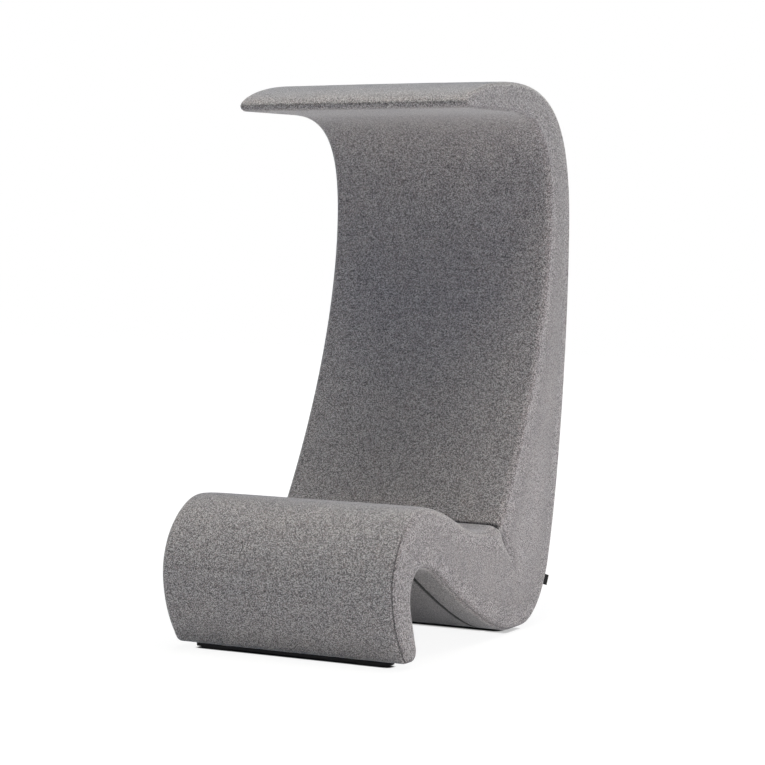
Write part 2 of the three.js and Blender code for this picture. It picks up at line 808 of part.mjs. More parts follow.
function flatPoint(point) {
  return new THREE.Vector3(point.x, point.y, 0);
}

function makeRibs(rails) {
  const outlines = ribOutlines();
  const slots = (low) => rails
    .filter((rail) => (rail.centre.y < spliceHeight) === low)
    .map((rail) => {
      const middle = (rail.tenon[0] + rail.tenon[1]) / 2;
      const along = new THREE.Vector2(Math.cos(rail.angle), Math.sin(rail.angle));
      const centre = rail.centre.clone().addScaledVector(along, middle);
      const length = rail.tenon[1] - rail.tenon[0] + 2 * clearance;
      return boxPoints(centre, rail.angle, length, rail.thickness + 2 * clearance);
    });
  const boltHole = (end) => circlePoints(boltPoint(end), boltRadius + clearance);
  const lightening = lighteningHoles(rails, outlines);
  const lowerHoles = [...slots(true), boltHole(-1), ...lightening.filter((hole) => hole.low)];
  const upperHoles = [...slots(false), boltHole(1), ...lightening.filter((hole) => !hole.low)];
  const lower = plate(outlines.lower, lowerHoles, ribThickness);
  const upper = plate(outlines.upper, upperHoles, ribThickness);
  const splicePoints = boxPoints(spliceCentre, spliceAngle, spliceLength, spliceWidth);
  const splice = plate(splicePoints, [boltHole(-1), boltHole(1)], spliceThickness);
  [['left', 1], ['right', -1]].forEach(([side, sign]) => {
    const ribX = sign > 0 ? ribInner : -ribOuter;
    const plateX = sign > 0 ? ribInner - clearance - spliceThickness : -ribInner + clearance;
    standAcross(place(`rib_lower_${side}`, lower, materials.plywood), ribX);
    standAcross(place(`rib_upper_${side}`, upper, materials.plywood), ribX);
    standAcross(place(`splice_plate_${side}`, splice, materials.plywood), plateX);
    [['lower', -1], ['upper', 1]].forEach(([level, end]) => {
      const bolt = place(`splice_bolt_${side}_${level}`, boltGeometry(), materials.steel);
      const centre = boltPoint(end);
      bolt.rotation.z = (-sign * Math.PI) / 2;
      bolt.position.set(sign * (ribInner - 2 * clearance - spliceThickness), centre.x, centre.y);
    });
  });
}

// A round-headed pin turned about its own axis, head below the origin and shank above
function headedPin(headRadius, headThickness, shankRadius, shankLength) {
  const profile = [
    [0, -headThickness],
    [headRadius * 0.8, -headThickness],
    [headRadius, -headThickness * 0.6],
    [headRadius, 0],
    [shankRadius, 0],
    [shankRadius, shankLength],
    [0, shankLength],
  ];
  return new THREE.LatheGeometry(profile.map(([x, y]) => new THREE.Vector2(x, y)), roundSides);
}

function boltGeometry() {
  const shank = spliceThickness + ribThickness + clearance;
  return headedPin(boltHeadRadius, boltHeadThickness, boltRadius, shank);
}

// Base boards, with recessed screws up into the foot rails, and glides under them
function roundedPlate(length, depth, corner, thickness) {
  const shape = new THREE.Shape();
  const x = length / 2 - corner;
  const y = depth / 2 - corner;
  shape.absarc(x, y, corner, 0, Math.PI / 2);
  shape.absarc(-x, y, corner, Math.PI / 2, Math.PI);
  shape.absarc(-x, -y, corner, Math.PI, 1.5 * Math.PI);
  shape.absarc(x, -y, corner, 1.5 * Math.PI, 2 * Math.PI);
  return new THREE.ExtrudeGeometry(shape, {
    depth: thickness,
    bevelEnabled: false,
    curveSegments: cornerSteps,
  });
}

function makeBase(end, middle, floor, board) {
  const top = floor - clearance;
  const bottom = top - board.thickness;
  const length = 2 * (halfWidth - board.inset);
  const bore = new THREE.CylinderGeometry(
    screwRadius + clearance,
    screwRadius + clearance,
    2 * (board.thickness + overrun),
    roundSides,
  );
  bore.rotateX(Math.PI / 2);
  const recess = new THREE.CylinderGeometry(
    screwHeadRadius + clearance,
    screwHeadRadius + clearance,
    2 * (screwHeadThickness + clearance),
    roundSides,
  );
  recess.rotateX(Math.PI / 2);
  let solid = solidOf(roundedPlate(length, board.depth, boardCorner, board.thickness));
  [-1, 1].forEach((side) => {
    [bore, recess].forEach((tool) => {
      const placed = tool.clone();
      placed.translate(side * screwSetover, 0, 0);
      solid = solid.subtract(solidOf(placed));
    });
    const shank = screwLength - screwHeadThickness;
    const pin = headedPin(screwHeadRadius, screwHeadThickness, screwRadius, shank);
    const screw = place(`base_screw_${end}_${side > 0 ? 'left' : 'right'}`, pin, materials.steel);
    screw.rotation.x = Math.PI / 2;
    screw.position.set(side * screwSetover, middle, bottom + screwHeadThickness);
    const glide = place(
      `glide_${end}_${side > 0 ? 'left' : 'right'}`,
      roundedPlate(glideLength, board.glideDepth, glideCorner, bottom - clearance),
      materials.black,
    );
    glide.position.set(side * (halfWidth - board.glideInset - glideLength / 2), middle, 0);
  });
  const mesh = place(`base_board_${end}`, geometryOf(solid), materials.black);
  mesh.position.set(0, middle, bottom);
}

// Zip: two tapes in the slot of the cover, the slider on them with its pull, and the end stop
function makeZip() {
  const inner = [-zipSlot / 2 + clearance, -zipGap / 2];
  const depth = tapeDepth + tapeThickness;
  const tape = (side) => (station) => {
    const [far, near] = inner.map((x) => zipSetover - side * x);
    const coil = near + side * coilWidth;
    return [[far, tapeDepth], [coil, tapeDepth], [coil, 0], [near, 0], [near, depth], [far, depth]];
  };
  const stations = slice(underRun, zipStart + clearance, zipEnd);
  place('zip_tape_inner', sectionStrip(stations, tape(-1)), materials.webbing);
  place('zip_tape_outer', sectionStrip(stations, tape(1)), materials.webbing);

  const frame = zipFrame();
  const plateTop = clearance + sliderPlate;
  const neck = zipGap / 2 - clearance;
  const keelTop = -keelDepth;
  const section = [
    [-sliderWidth / 2, clearance],
    [-neck, clearance],
    [-neck, keelTop],
    [-sliderKeelWidth / 2, keelTop],
    [-sliderKeelWidth / 2, keelTop - sliderKeel],
    [sliderKeelWidth / 2, keelTop - sliderKeel],
    [sliderKeelWidth / 2, keelTop],
    [neck, keelTop],
    [neck, clearance],
    [sliderWidth / 2, clearance],
    [sliderWidth / 2, plateTop],
    [-sliderWidth / 2, plateTop],
  ];
  const shape = new THREE.Shape(section.map(([x, y]) => new THREE.Vector2(x, y)));
  const body = new THREE.ExtrudeGeometry(shape, { depth: sliderLength, bevelEnabled: false });
  body.translate(0, 0, -sliderLength / 2);
  body.rotateX(Math.PI / 2);
  const barHeight = plateTop + clearance + pullEyeRadius;
  const postX = pullWidth / 2 + clearance + bailPost / 2;
  const bar = new THREE.CylinderGeometry(bailBarRadius, bailBarRadius, 2 * postX, roundSides);
  bar.rotateZ(Math.PI / 2);
  bar.translate(0, 0, barHeight);
  let slider = solidOf(body).add(solidOf(bar));
  [-1, 1].forEach((side) => {
    const postHeight = barHeight + bailBarRadius - plateTop + sliderPlate / 2;
    const post = new THREE.BoxGeometry(bailPost, 2 * bailBarRadius, postHeight);
    post.translate(side * postX, 0, plateTop - sliderPlate / 2 + postHeight / 2);
    slider = slider.add(solidOf(post));
  });
  place('zip_slider', geometryOf(slider), materials.steel, frame).position.y = -sliderRest;

  const eye = new THREE.CylinderGeometry(pullEyeRadius, pullEyeRadius, pullWidth, roundSides);
  eye.rotateZ(Math.PI / 2);
  const bore = new THREE.CylinderGeometry(pullEyeBore, pullEyeBore, 2 * pullWidth, roundSides);
  bore.rotateZ(Math.PI / 2);
  const leaf = new THREE.BoxGeometry(pullWidth, pullLength, pullThickness);
  leaf.translate(0, pullLength / 2, pullThickness / 2 - pullEyeRadius);
  const hole = new THREE.CylinderGeometry(pullHoleRadius, pullHoleRadius, 2 * pullEyeRadius, roundSides);
  hole.rotateX(Math.PI / 2);
  hole.translate(0, pullLength - 2 * pullHoleRadius, -pullEyeRadius);
  const pull = solidOf(eye).add(solidOf(leaf)).subtract(solidOf(bore)).subtract(solidOf(hole));
  place('zip_pull', geometryOf(pull), materials.steel, frame).position.set(0, -sliderRest, barHeight);

  const stop = new THREE.BoxGeometry(zipSlot - 2 * clearance, stopLength, sliderPlate);
  stop.translate(0, 0, clearance + sliderPlate / 2);
  place('zip_bottom_stop', stop, materials.steel, frame).position.y = -stopLength;
}

// A blank woven tab stands out of the rear seam on the left side, square to the edge roll
function makeTab() {
  const station = stationAt(rearRun, distanceWhere(rearRun, 'y', tabFloorHeight + tabHeight / 2));
  const [x, depth] = rollCorner(station, 1, 0, seamAngle);
  const seam = below(station, depth);
  const inward = station.inward.clone().normalize();
  const outward = new THREE.Vector3(0, -inward.x, -inward.y);
  const out = outward.clone().multiplyScalar(Math.cos(seamAngle)).setX(Math.sin(seamAngle));
  const across = outward.multiplyScalar(-Math.sin(seamAngle)).setX(Math.cos(seamAngle));
  const along = out.clone().cross(across);
  const tab = new THREE.BoxGeometry(tabThickness, tabHeight, tabReach);
  const mesh = place('label_tab', tab, materials.webbing);
  mesh.quaternion.setFromRotationMatrix(new THREE.Matrix4().makeBasis(across, along, out));
  mesh.position.set(x, seam.x, seam.y).addScaledVector(out, clearance + tabReach / 2);
}

const rails = railList();
makeCover();
makeFoam();
makeLiners();
makeRails(rails);
makeRibs(rails);
makeBase('front', frontFootMiddle, frontClearance, {
  inset: frontBoardInset,
  depth: frontBoardDepth,
  thickness: frontBoardThickness,
  glideDepth: frontGlideDepth,
  glideInset: frontGlideInset,
});
makeBase('rear', rearFootMiddle, rearClearance, {
  inset: rearBoardInset,
  depth: rearBoardDepth,
  thickness: rearBoardThickness,
  glideDepth: rearGlideDepth,
  glideInset: rearGlideInset,
});
makeZip();
makeTab();

export default chair;
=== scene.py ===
import math
import bpy
import bmesh
import numpy as np
from mathutils import Matrix, Vector, noise


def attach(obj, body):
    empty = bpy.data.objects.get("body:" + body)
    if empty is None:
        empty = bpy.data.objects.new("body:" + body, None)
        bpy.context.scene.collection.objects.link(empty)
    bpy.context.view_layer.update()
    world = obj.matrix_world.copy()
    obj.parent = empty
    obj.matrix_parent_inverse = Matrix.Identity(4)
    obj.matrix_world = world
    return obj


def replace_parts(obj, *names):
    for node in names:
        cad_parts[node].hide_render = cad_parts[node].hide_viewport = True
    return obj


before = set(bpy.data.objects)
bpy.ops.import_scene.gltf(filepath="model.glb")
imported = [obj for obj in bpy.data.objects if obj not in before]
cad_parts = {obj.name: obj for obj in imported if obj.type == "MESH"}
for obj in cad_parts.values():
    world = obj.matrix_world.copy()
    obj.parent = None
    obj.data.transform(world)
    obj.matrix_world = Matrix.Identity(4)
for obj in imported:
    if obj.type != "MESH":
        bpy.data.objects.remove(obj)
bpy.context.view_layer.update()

scene = bpy.context.scene
mm = 0.001

# Side profile, in millimetres from the front and the floor, as the solids have it
shell = {
    "width": 682, "depth": 1065, "height": 1488,
    "backThickness": 146, "canopyThickness": 80, "noseRadius": 20, "noseRise": 15,
    "footFlat": 25, "toeReach": 34, "toeRise": 23, "ankleReach": 24, "ankleRise": 39,
    "heelFlat": 70, "frontClearance": 14, "rearClearance": 9,
    "frontSeamInset": 3, "rearSeamInset": 15,
    "padAt": {"shin": 34, "knee": 50, "dip": 50, "crease": 50, "heel": 20, "under": 14, "arch": 14, "calf": 14},
    "cover": 2, "gap": 0.3, "padEdge": 316.5, "sidePadInner": 317.2, "seamAngle": 45,
    "profile": {
        "foot": (0.0855, 0), "shin": (0, 0.1398), "knee": (0.1601, 0.2673), "dip": (0.5078, 0.2003),
        "crease": (0.5768, 0.2049), "head": (0, 0.7715), "canopyRoot": (0.6214, 0), "nose": (0.3628, 0),
        "crown": (0.649, 0), "rear": (0, 0.7355), "heel": (0.887, 0.1214), "footBack": (0.724, 0),
        "under": (0.2582, 0.1324), "arch": (0.1549, 0.1626), "calf": (0.1042, 0.0988),
    },
}
halfWidth = shell["width"] / 2
seamAngle = math.radians(shell["seamAngle"])


def profileAnchors():
    back = {k: v[0] * shell["depth"] for k, v in shell["profile"].items()}
    up = {k: v[1] * shell["height"] for k, v in shell["profile"].items()}
    under = shell["height"] - shell["canopyThickness"]
    low, rearLow = shell["frontClearance"], shell["rearClearance"]
    footRear = back["foot"] + shell["footFlat"]
    return {  # setback, height, pad thickness, radius of the edge roll
        "frontSeam": (back["foot"] + shell["frontSeamInset"], low, 10, 15),
        "footFront": (back["foot"], low, 10, 15),
        "footRear": (footRear, low, 10, 15),
        "shinCorner": (back["foot"] - shell["toeReach"], low + shell["toeRise"], 10, 20),
        "head": (shell["depth"] - shell["backThickness"], up["head"], 45, 20),
        "canopyRoot": (back["canopyRoot"], under, 14, 14),
        "lip": (back["nose"] + shell["noseRadius"], under, 8, 9),
        "nose": (back["nose"], under + shell["noseRise"], 8, 9),
        "crown": (back["crown"], shell["height"], 14, 14),
        "rear": (shell["depth"], up["rear"], 20, 20),
        "footBack": (back["footBack"], rearLow, 14, 20),
        "rearSeam": (back["footBack"] - shell["rearSeamInset"], rearLow, 14, 20),
        "footFore": (back["footBack"] - shell["heelFlat"], rearLow, 14, 20),
        "ankle": (footRear + shell["ankleReach"], low + shell["ankleRise"], 14, 20),
    } | {k: (back[k], up[k], pad, 20) for k, pad in shell["padAt"].items()}


anchors = profileAnchors()

# Each bend: from, to, and the shares of the span at which it leaves and arrives
runShapes = {
    "front": [
        ("frontSeam", "footFront", None),
        ("footFront", "shinCorner", ((0.53, 0), (0.235, 0.583))),
        ("shinCorner", "shin", ((0.48, 0.22), (0, 0.41))),
        ("shin", "knee", ((0, 0.444), (0.57, 0))),
        ("knee", "dip", ((0.38, 0), (0.38, 0))),
        ("dip", "crease", ((0.33, 0), (0.3, 0.5))),
    ],
    "back": [
        ("crease", "head", ((0.488, 0.264), (0, 0.346))),
        ("head", "canopyRoot", ((0, 0.573), (0.836, 0))),
        ("canopyRoot", "lip", None),
        ("lip", "nose", ((0.55, 0), (0, 0.55))),
    ],
    "rear": [
        ("nose", "crown", ((0, 0.36), (0.61, 0))),
        ("crown", "rear", ((0.638, 0), (0, 0.782))),
        ("rear", "heel", ((0, 0.315), (0.571, 0.2415))),
        ("heel", "footBack", ((0.115, 0.437), (0.5, 0))),
        ("footBack", "rearSeam", None),
    ],
    "under": [
        ("rearSeam", "footFore", None),
        ("footFore", "under", ((0.24, 0), (0.301, 0.427))),
        ("under", "arch", ((0.318, 0.489), (0.364, 0))),
        ("arch", "calf", ((0.75, 0), (-0.247, 0.505))),
        ("calf", "ankle", None),
        ("ankle", "footRear", ((-0.21, 0.46), (0.79, 0))),
        ("footRear", "frontSeam", None),
    ],
}


def traceRun(bends, samples=60):
    place, inward, pad, edge, marks, count = [], [], [], [], {}, 0
    for start, end, shares in bends:
        a, b = np.array(anchors[start], float), np.array(anchors[end], float)
        span = b[:2] - a[:2]
        leave, arrive = (np.array(s) for s in (shares or ((1 / 3, 1 / 3), (1 / 3, 1 / 3))))
        p0, p1, p2, p3 = a[:2], a[:2] + span * leave, b[:2] - span * arrive, b[:2]
        t = np.linspace(0, 1, samples + 1)[(1 if count else 0):, None]
        point = (1 - t) ** 3 * p0 + 3 * (1 - t) ** 2 * t * p1 + 3 * (1 - t) * t * t * p2 + t ** 3 * p3
        slope = 3 * (1 - t) ** 2 * (p1 - p0) + 6 * (1 - t) * t * (p2 - p1) + 3 * t * t * (p3 - p2)
        slope /= np.linalg.norm(slope, axis=1)[:, None]
        marks.setdefault(start, count - 1 if count else 0)
        place.append(point)
        inward.append(np.column_stack([slope[:, 1], -slope[:, 0]]))
        pad.append(a[2] + (b[2] - a[2]) * t[:, 0])
        edge.append(a[3] + (b[3] - a[3]) * t[:, 0])
        count += len(point)
        marks[end] = count - 1
    place = np.concatenate(place)
    distance = np.concatenate([[0], np.cumsum(np.linalg.norm(np.diff(place, axis=0), axis=1))])
    return {
        "distance": distance, "place": place, "inward": np.concatenate(inward),
        "pad": np.concatenate(pad), "edge": np.concatenate(edge),
        "marks": {k: distance[v] for k, v in marks.items()}, "length": distance[-1],
    }


runs = {name: traceRun(bends) for name, bends in runShapes.items()}
# Both sides of the seat crease share one mitred direction
mitre = runs["front"]["inward"][-1] + runs["back"]["inward"][0]
mitre /= np.linalg.norm(mitre)
mitre /= mitre @ runs["front"]["inward"][-1]
runs["front"]["inward"][-1] = mitre
runs["back"]["inward"][0] = mitre


def readAt(distances, base, values):
    if values.ndim == 1:
        return np.interp(distances, base, values)
    return np.column_stack([np.interp(distances, base, line) for line in values.T])


def stationsAt(run, distances):
    s = {k: readAt(distances, run["distance"], run[k]) for k in ("place", "inward", "pad", "edge")}
    s["outward"] = -s["inward"] / np.linalg.norm(s["inward"], axis=1)[:, None]
    return s | {"distance": distances}


def crowded(length, near, pitch):
    inner = length - 2 * near[-1]
    middle = near[-1] + np.linspace(0, inner, max(2, round(inner / pitch)) + 1)[1:-1]
    return np.concatenate([near, middle, length - np.array(near)[::-1]])


def smoothStep(low, high, value):
    t = np.clip((value - low) / (high - low), 0, 1)
    return t * t * (3 - 2 * t)


seedShift = (7.3, 3.1, 5.7)  # moves the noise apart for each seed


def unevenness(points, size, seed):
    # smooth noise over the surface, one value a point, from -1 to 1
    flat = points.reshape(-1, 3) / size
    shift = Vector([seed * k for k in seedShift])
    values = [noise.noise(Vector(p) + shift) for p in flat]
    return np.array(values).reshape(points.shape[:-1])


def toRow(points):
    # millimetres from the chair's front to metres in the row's frame
    moved = np.array(points, float)
    moved[..., 1] -= shell["depth"] / 2
    return moved * mm


print("profile traced:", {k: round(v["length"]) for k, v in runs.items()})


# Meshes from sheets of points
weld = {"within": 2e-6, "sliver": 1e-6, "sharpFrom": 50}  # metres, metres, degrees


def addObject(name, data):
    made = bpy.data.objects.new(name, data)
    scene.collection.objects.link(made)
    return made


def meshFrom(name, bm):
    mesh = bpy.data.meshes.new(name)
    bm.to_mesh(mesh)
    bm.free()
    return mesh


def sheetGrid(rows, cols, sheets):
    # one grid of a sheet, or two grids joined round their rims, as an unfinished mesh
    bm = bmesh.new()
    row, col, ring = (bm.verts.layers.int.new(n) for n in ("row", "col", "ring"))
    bmesh.ops.create_grid(bm, x_segments=cols - 1, y_segments=rows - 1, size=1)
    for v in bm.verts:
        v[row] = round((v.co.y + 1) / 2 * (rows - 1))
        v[col] = round((v.co.x + 1) / 2 * (cols - 1))
    if len(sheets) == 2:
        faces = list(bm.faces)
        rim = [e for e in bm.edges if e.is_boundary]
        copied = bmesh.ops.duplicate(bm, geom=faces)["geom"]
        bmesh.ops.reverse_faces(bm, faces=[g for g in copied if isinstance(g, bmesh.types.BMFace)])
        grown = bmesh.ops.extrude_edge_only(bm, edges=rim)["geom"]
        for v in (g for g in copied + grown if isinstance(g, bmesh.types.BMVert)):
            v[ring] = 1
    for v in bm.verts:
        v.co = sheets[v[ring]][v[row], v[col]]
    return bm, row, col, ring


def finishMesh(name, bm, materials, body="chair"):
    mesh = meshFrom(name, bm)
    for attribute in ("row", "col", "ring"):
        mesh.attributes.remove(mesh.attributes[attribute])
    mesh.polygons.foreach_set("use_smooth", [True] * len(mesh.polygons))
    mesh.set_sharp_from_angle(angle=math.radians(weld["sharpFrom"]))
    piece = addObject(name, mesh)
    for material in materials:
        mesh.materials.append(material)
    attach(piece, body)
    return piece


def padMesh(name, outer, inner, paintedShade, wrapped, pointed=False):
    # paintedShade: how much painted shade darkens the cover at each point, 0 to 1: along the seams, in the
    # crease fold and low on the underside
    # wrapped: columns of the skin that wrap round the edge roll and have no foam of their own
    rows, cols = outer.shape[:2]
    bm, row, col, ring = sheetGrid(rows, cols, [toRow(outer), toRow(inner)])
    # each point keeps its painted shade, which the cover's material darkens by
    shade = bm.verts.layers.float.new("paintedShade")
    for v in bm.verts:
        v[shade] = paintedShade[v[row], v[col]]
    for face in bm.faces:
        inside = all(v[ring] == 1 for v in face.verts)
        bare = inside and not all(v[col] in wrapped for v in face.verts)
        face.material_index = 1 if bare else 0
    if pointed:
        # the first row has no width, so the skin closes on itself there without a wall
        walls = [f for f in bm.faces if all(v[row] == 0 for v in f.verts)]
        bmesh.ops.delete(bm, geom=walls, context="FACES_ONLY")
    bmesh.ops.remove_doubles(bm, verts=bm.verts, dist=weld["within"])
    bmesh.ops.dissolve_degenerate(bm, dist=weld["sliver"], edges=bm.edges)
    bmesh.ops.recalc_face_normals(bm, faces=bm.faces)
    piece = finishMesh(name, bm, [finishes["cover"], finishes["foam"]])
    print(f"{name}: {len(piece.data.polygons)} faces")
    return piece


# Cloth: the pads swell a little under their covers
clothRun = {
    "frames": 18, "fewestRows": 12, "heldMargin": 12, "guessedEdge": 3,
    "settings": {
        "quality": 6, "mass": 0.25, "tension_stiffness": 12, "compression_stiffness": 12,
        "shear_stiffness": 6, "bending_stiffness": 1.5, "air_damping": 3, "use_pressure": True,
        "uniform_pressure_force": 2.0, "vertex_group_mass": "seams",
    },
}


def swell(name, sheet, outward, held, most):
    # blows the held sheet up as cloth, and returns how far each point rises, at most so many millimetres
    rows, cols = sheet.shape[:2]
    bm, row, col, ring = sheetGrid(rows, cols, [toRow(sheet)])
    bm.normal_update()
    facing = sum(f.normal.dot(Vector(outward[f.verts[0][row], f.verts[0][col]])) for f in bm.faces)
    if facing < 0:
        bmesh.ops.reverse_faces(bm, faces=bm.faces)
    cells = [(v[row], v[col]) for v in bm.verts]
    mesh = meshFrom(name, bm)
    sheetObject = addObject(name, mesh)
    pins = sheetObject.vertex_groups.new(name="seams")
    pins.add([i for i, cell in enumerate(cells) if held[cell]], 1.0, "REPLACE")
    cloth = sheetObject.modifiers.new("Cloth", "CLOTH")
    for option, value in clothRun["settings"].items():
        setattr(cloth.settings, option, value)
    cloth.settings.effector_weights.gravity = 0
    cloth.point_cache.frame_start = 1
    cloth.point_cache.frame_end = clothRun["frames"]
    for number in range(1, clothRun["frames"] + 1):
        scene.frame_set(number)
    shaped = sheetObject.evaluated_get(bpy.context.evaluated_depsgraph_get()).data
    places = np.empty(len(cells) * 3)
    shaped.vertices.foreach_get("co", places)
    moved = np.zeros((rows, cols, 3))
    for cell, place in zip(cells, places.reshape(-1, 3)):
        moved[cell] = place
    bpy.data.objects.remove(sheetObject)
    bpy.data.meshes.remove(mesh)
    scene.frame_set(1)
    rise = np.einsum("ijk,ijk->ij", moved - toRow(sheet), outward) / mm
    top = float(rise.max())
    print(f"cloth {name}: {rows} x {cols}, rises {top:.2f} mm, kept to {most}")
    return np.clip(rise, 0, None) * (most / top if top > 0 else 0)


def soften(values, passes=6):
    for _ in range(passes):
        wide = np.pad(values, 1, mode="edge")
        beside = wide[:-2, 1:-1] + wide[2:, 1:-1] + wide[1:-1, :-2] + wide[1:-1, 2:]
        values = (beside + 4 * wide[1:-1, 1:-1]) / 8
    return values


def spread(values, rowsFrom, colsFrom, rowsTo, colsTo):
    across = np.array([np.interp(colsTo, colsFrom, line) for line in values])
    return np.array([np.interp(rowsTo, rowsFrom, line) for line in across.T]).T


def seamDip(distance, radius):
    # the skin turns in at a seam on a small radius
    t = np.clip(1 - distance / radius, 0, 1)
    return radius * (1 - np.sqrt(1 - t * t))


# The fold that runs down each side from the seat crease, in the side view, with painted shade along it
foldShape = {
    "line": [(600, 318), (612, 303), (626, 283), (641, 256), (660, 234), (684, 210), (726, 152)],
    "depth": 6, "width": 3, "widening": 2.2, "fading": 1.2, "hollow": 2.2, "hollowWidth": 22,
    "uneven": 0.25, "unevenSize": 7, "dark": 1.3, "darkWidth": 2.8, "closestRungs": 0.6,
    "sides": (308, 332),  # the fold starts and is whole so far from the middle
    "rungs": [1.6, 3.2, 4.8, 6.4, 8, 10, 12.5, 15.5, 19],
}


def nearestOnLine(points, line):
    # distance from each point to a polyline in the side view, and how far along it (0 to 1)
    line = np.array(line, float)
    best, along = np.full(points.shape[:-1], 1e9), np.zeros(points.shape[:-1])
    lengths = np.concatenate([[0], np.cumsum(np.linalg.norm(np.diff(line, axis=0), axis=1))])
    for i in range(len(line) - 1):
        a, ab = line[i], line[i + 1] - line[i]
        t = np.clip(((points - a) @ ab) / (ab @ ab), 0, 1)
        gap = np.linalg.norm(points - (a + t[..., None] * ab), axis=-1)
        closer = gap < best
        best = np.where(closer, gap, best)
        along = np.where(closer, (lengths[i] + t * (lengths[i + 1] - lengths[i])) / lengths[-1], along)
    return best, along


def creaseFold(points):
    # how far the fold sinks the skin, and how dark the painted shade in it is
    f = foldShape
    gap, along = nearestOnLine(points[..., 1:], f["line"])
    strength = (1 - along) ** f["fading"] * (1 + f["uneven"] * unevenness(points, f["unevenSize"], 9))
    sink = f["depth"] * strength * np.exp(-gap / (f["width"] * (1 + f["widening"] * along)))
    sink += f["hollow"] * (1 - along) * np.exp(-(gap / f["hollowWidth"]) ** 2)
    return sink, np.clip(f["dark"] * strength, 0, 1) * np.exp(-(gap / f["darkWidth"]) ** 2)


# Panels along the runs
rollShares = np.array([1, 0.965, 0.93, 0.885, 0.82, 0.73, 0.6, 0.42, 0.2])  # rows round an edge roll
quarterTurn = math.pi / 2
seamShape = {
    "near": [0, 0.6, 1.3, 2.1, 3.2, 4.8, 7, 10, 15],  # rows beside a seam
    "pucker": 0.35, "puckerSize": 9, "calmSeamShare": 0.25, "shadeReach": 1.9, "softReach": 24,
    "flatReach": 30, "rippleSize": 10, "rippleReach": 8, "broadSize": 120, "smallSize": 45, "smallShare": 0.4,
    "restMargin": 14, "coverSpare": 0.1,
}


def edgeColumns(rolled, plainNear, pitchCount):
    # columns from one side to the other: t across the flat face, angle round the roll at each end
    roll = rollShares * seamAngle
    left = [(0.0, -a) for a in roll] if rolled[0] else []
    right = [(1.0, a) for a in roll[::-1]] if rolled[1] else []
    flat = np.linspace(0, 1, pitchCount + 1)
    if not rolled[0]:
        flat = np.unique(np.concatenate([plainNear, flat]))
    if not rolled[1]:
        flat = np.unique(np.concatenate([1 - np.array(plainNear), flat]))
    columns = np.array(left + [(t, 0.0) for t in flat] + right)
    return columns[:, 0], columns[:, 1]


def placed(stations, x, depth):
    # points that lie x across the chair and so deep below the run
    at = stations["place"][:, None, :] + stations["inward"][:, None, :] * depth[..., None]
    return np.dstack([np.broadcast_to(x, depth.shape), at[..., 0], at[..., 1]])


def skinOver(stations, t, angle, low, high):
    # the skin's points and normals: flat between low and high, then round the edge roll
    edge = stations["edge"][:, None]
    x = low[:, None] + (high - low)[:, None] * t + edge * np.sin(angle)
    points = placed(stations, x, edge * (1 - np.cos(angle)))
    lean = np.broadcast_to(np.cos(angle), x.shape)[..., None] * stations["outward"][:, None, :]
    return points, np.dstack([np.broadcast_to(np.sin(angle), x.shape), lean[..., 0], lean[..., 1]])


def puckerOver(points, seed):
    return 1 + seamShape["pucker"] * unevenness(points, seamShape["puckerSize"], seed)


def bumpsOver(points, seed):
    small = seamShape["smallShare"] * unevenness(points, seamShape["smallSize"], seed + 1)
    return unevenness(points, seamShape["broadSize"], seed) + small


def rippleOver(points, strength, fromSeam, seed):
    reach = np.exp(-fromSeam / seamShape["rippleReach"])
    return strength * reach * unevenness(points, seamShape["rippleSize"], seed)


def nearSeam(fromSeam, reach):
    return np.exp(-(fromSeam / reach) ** 2)


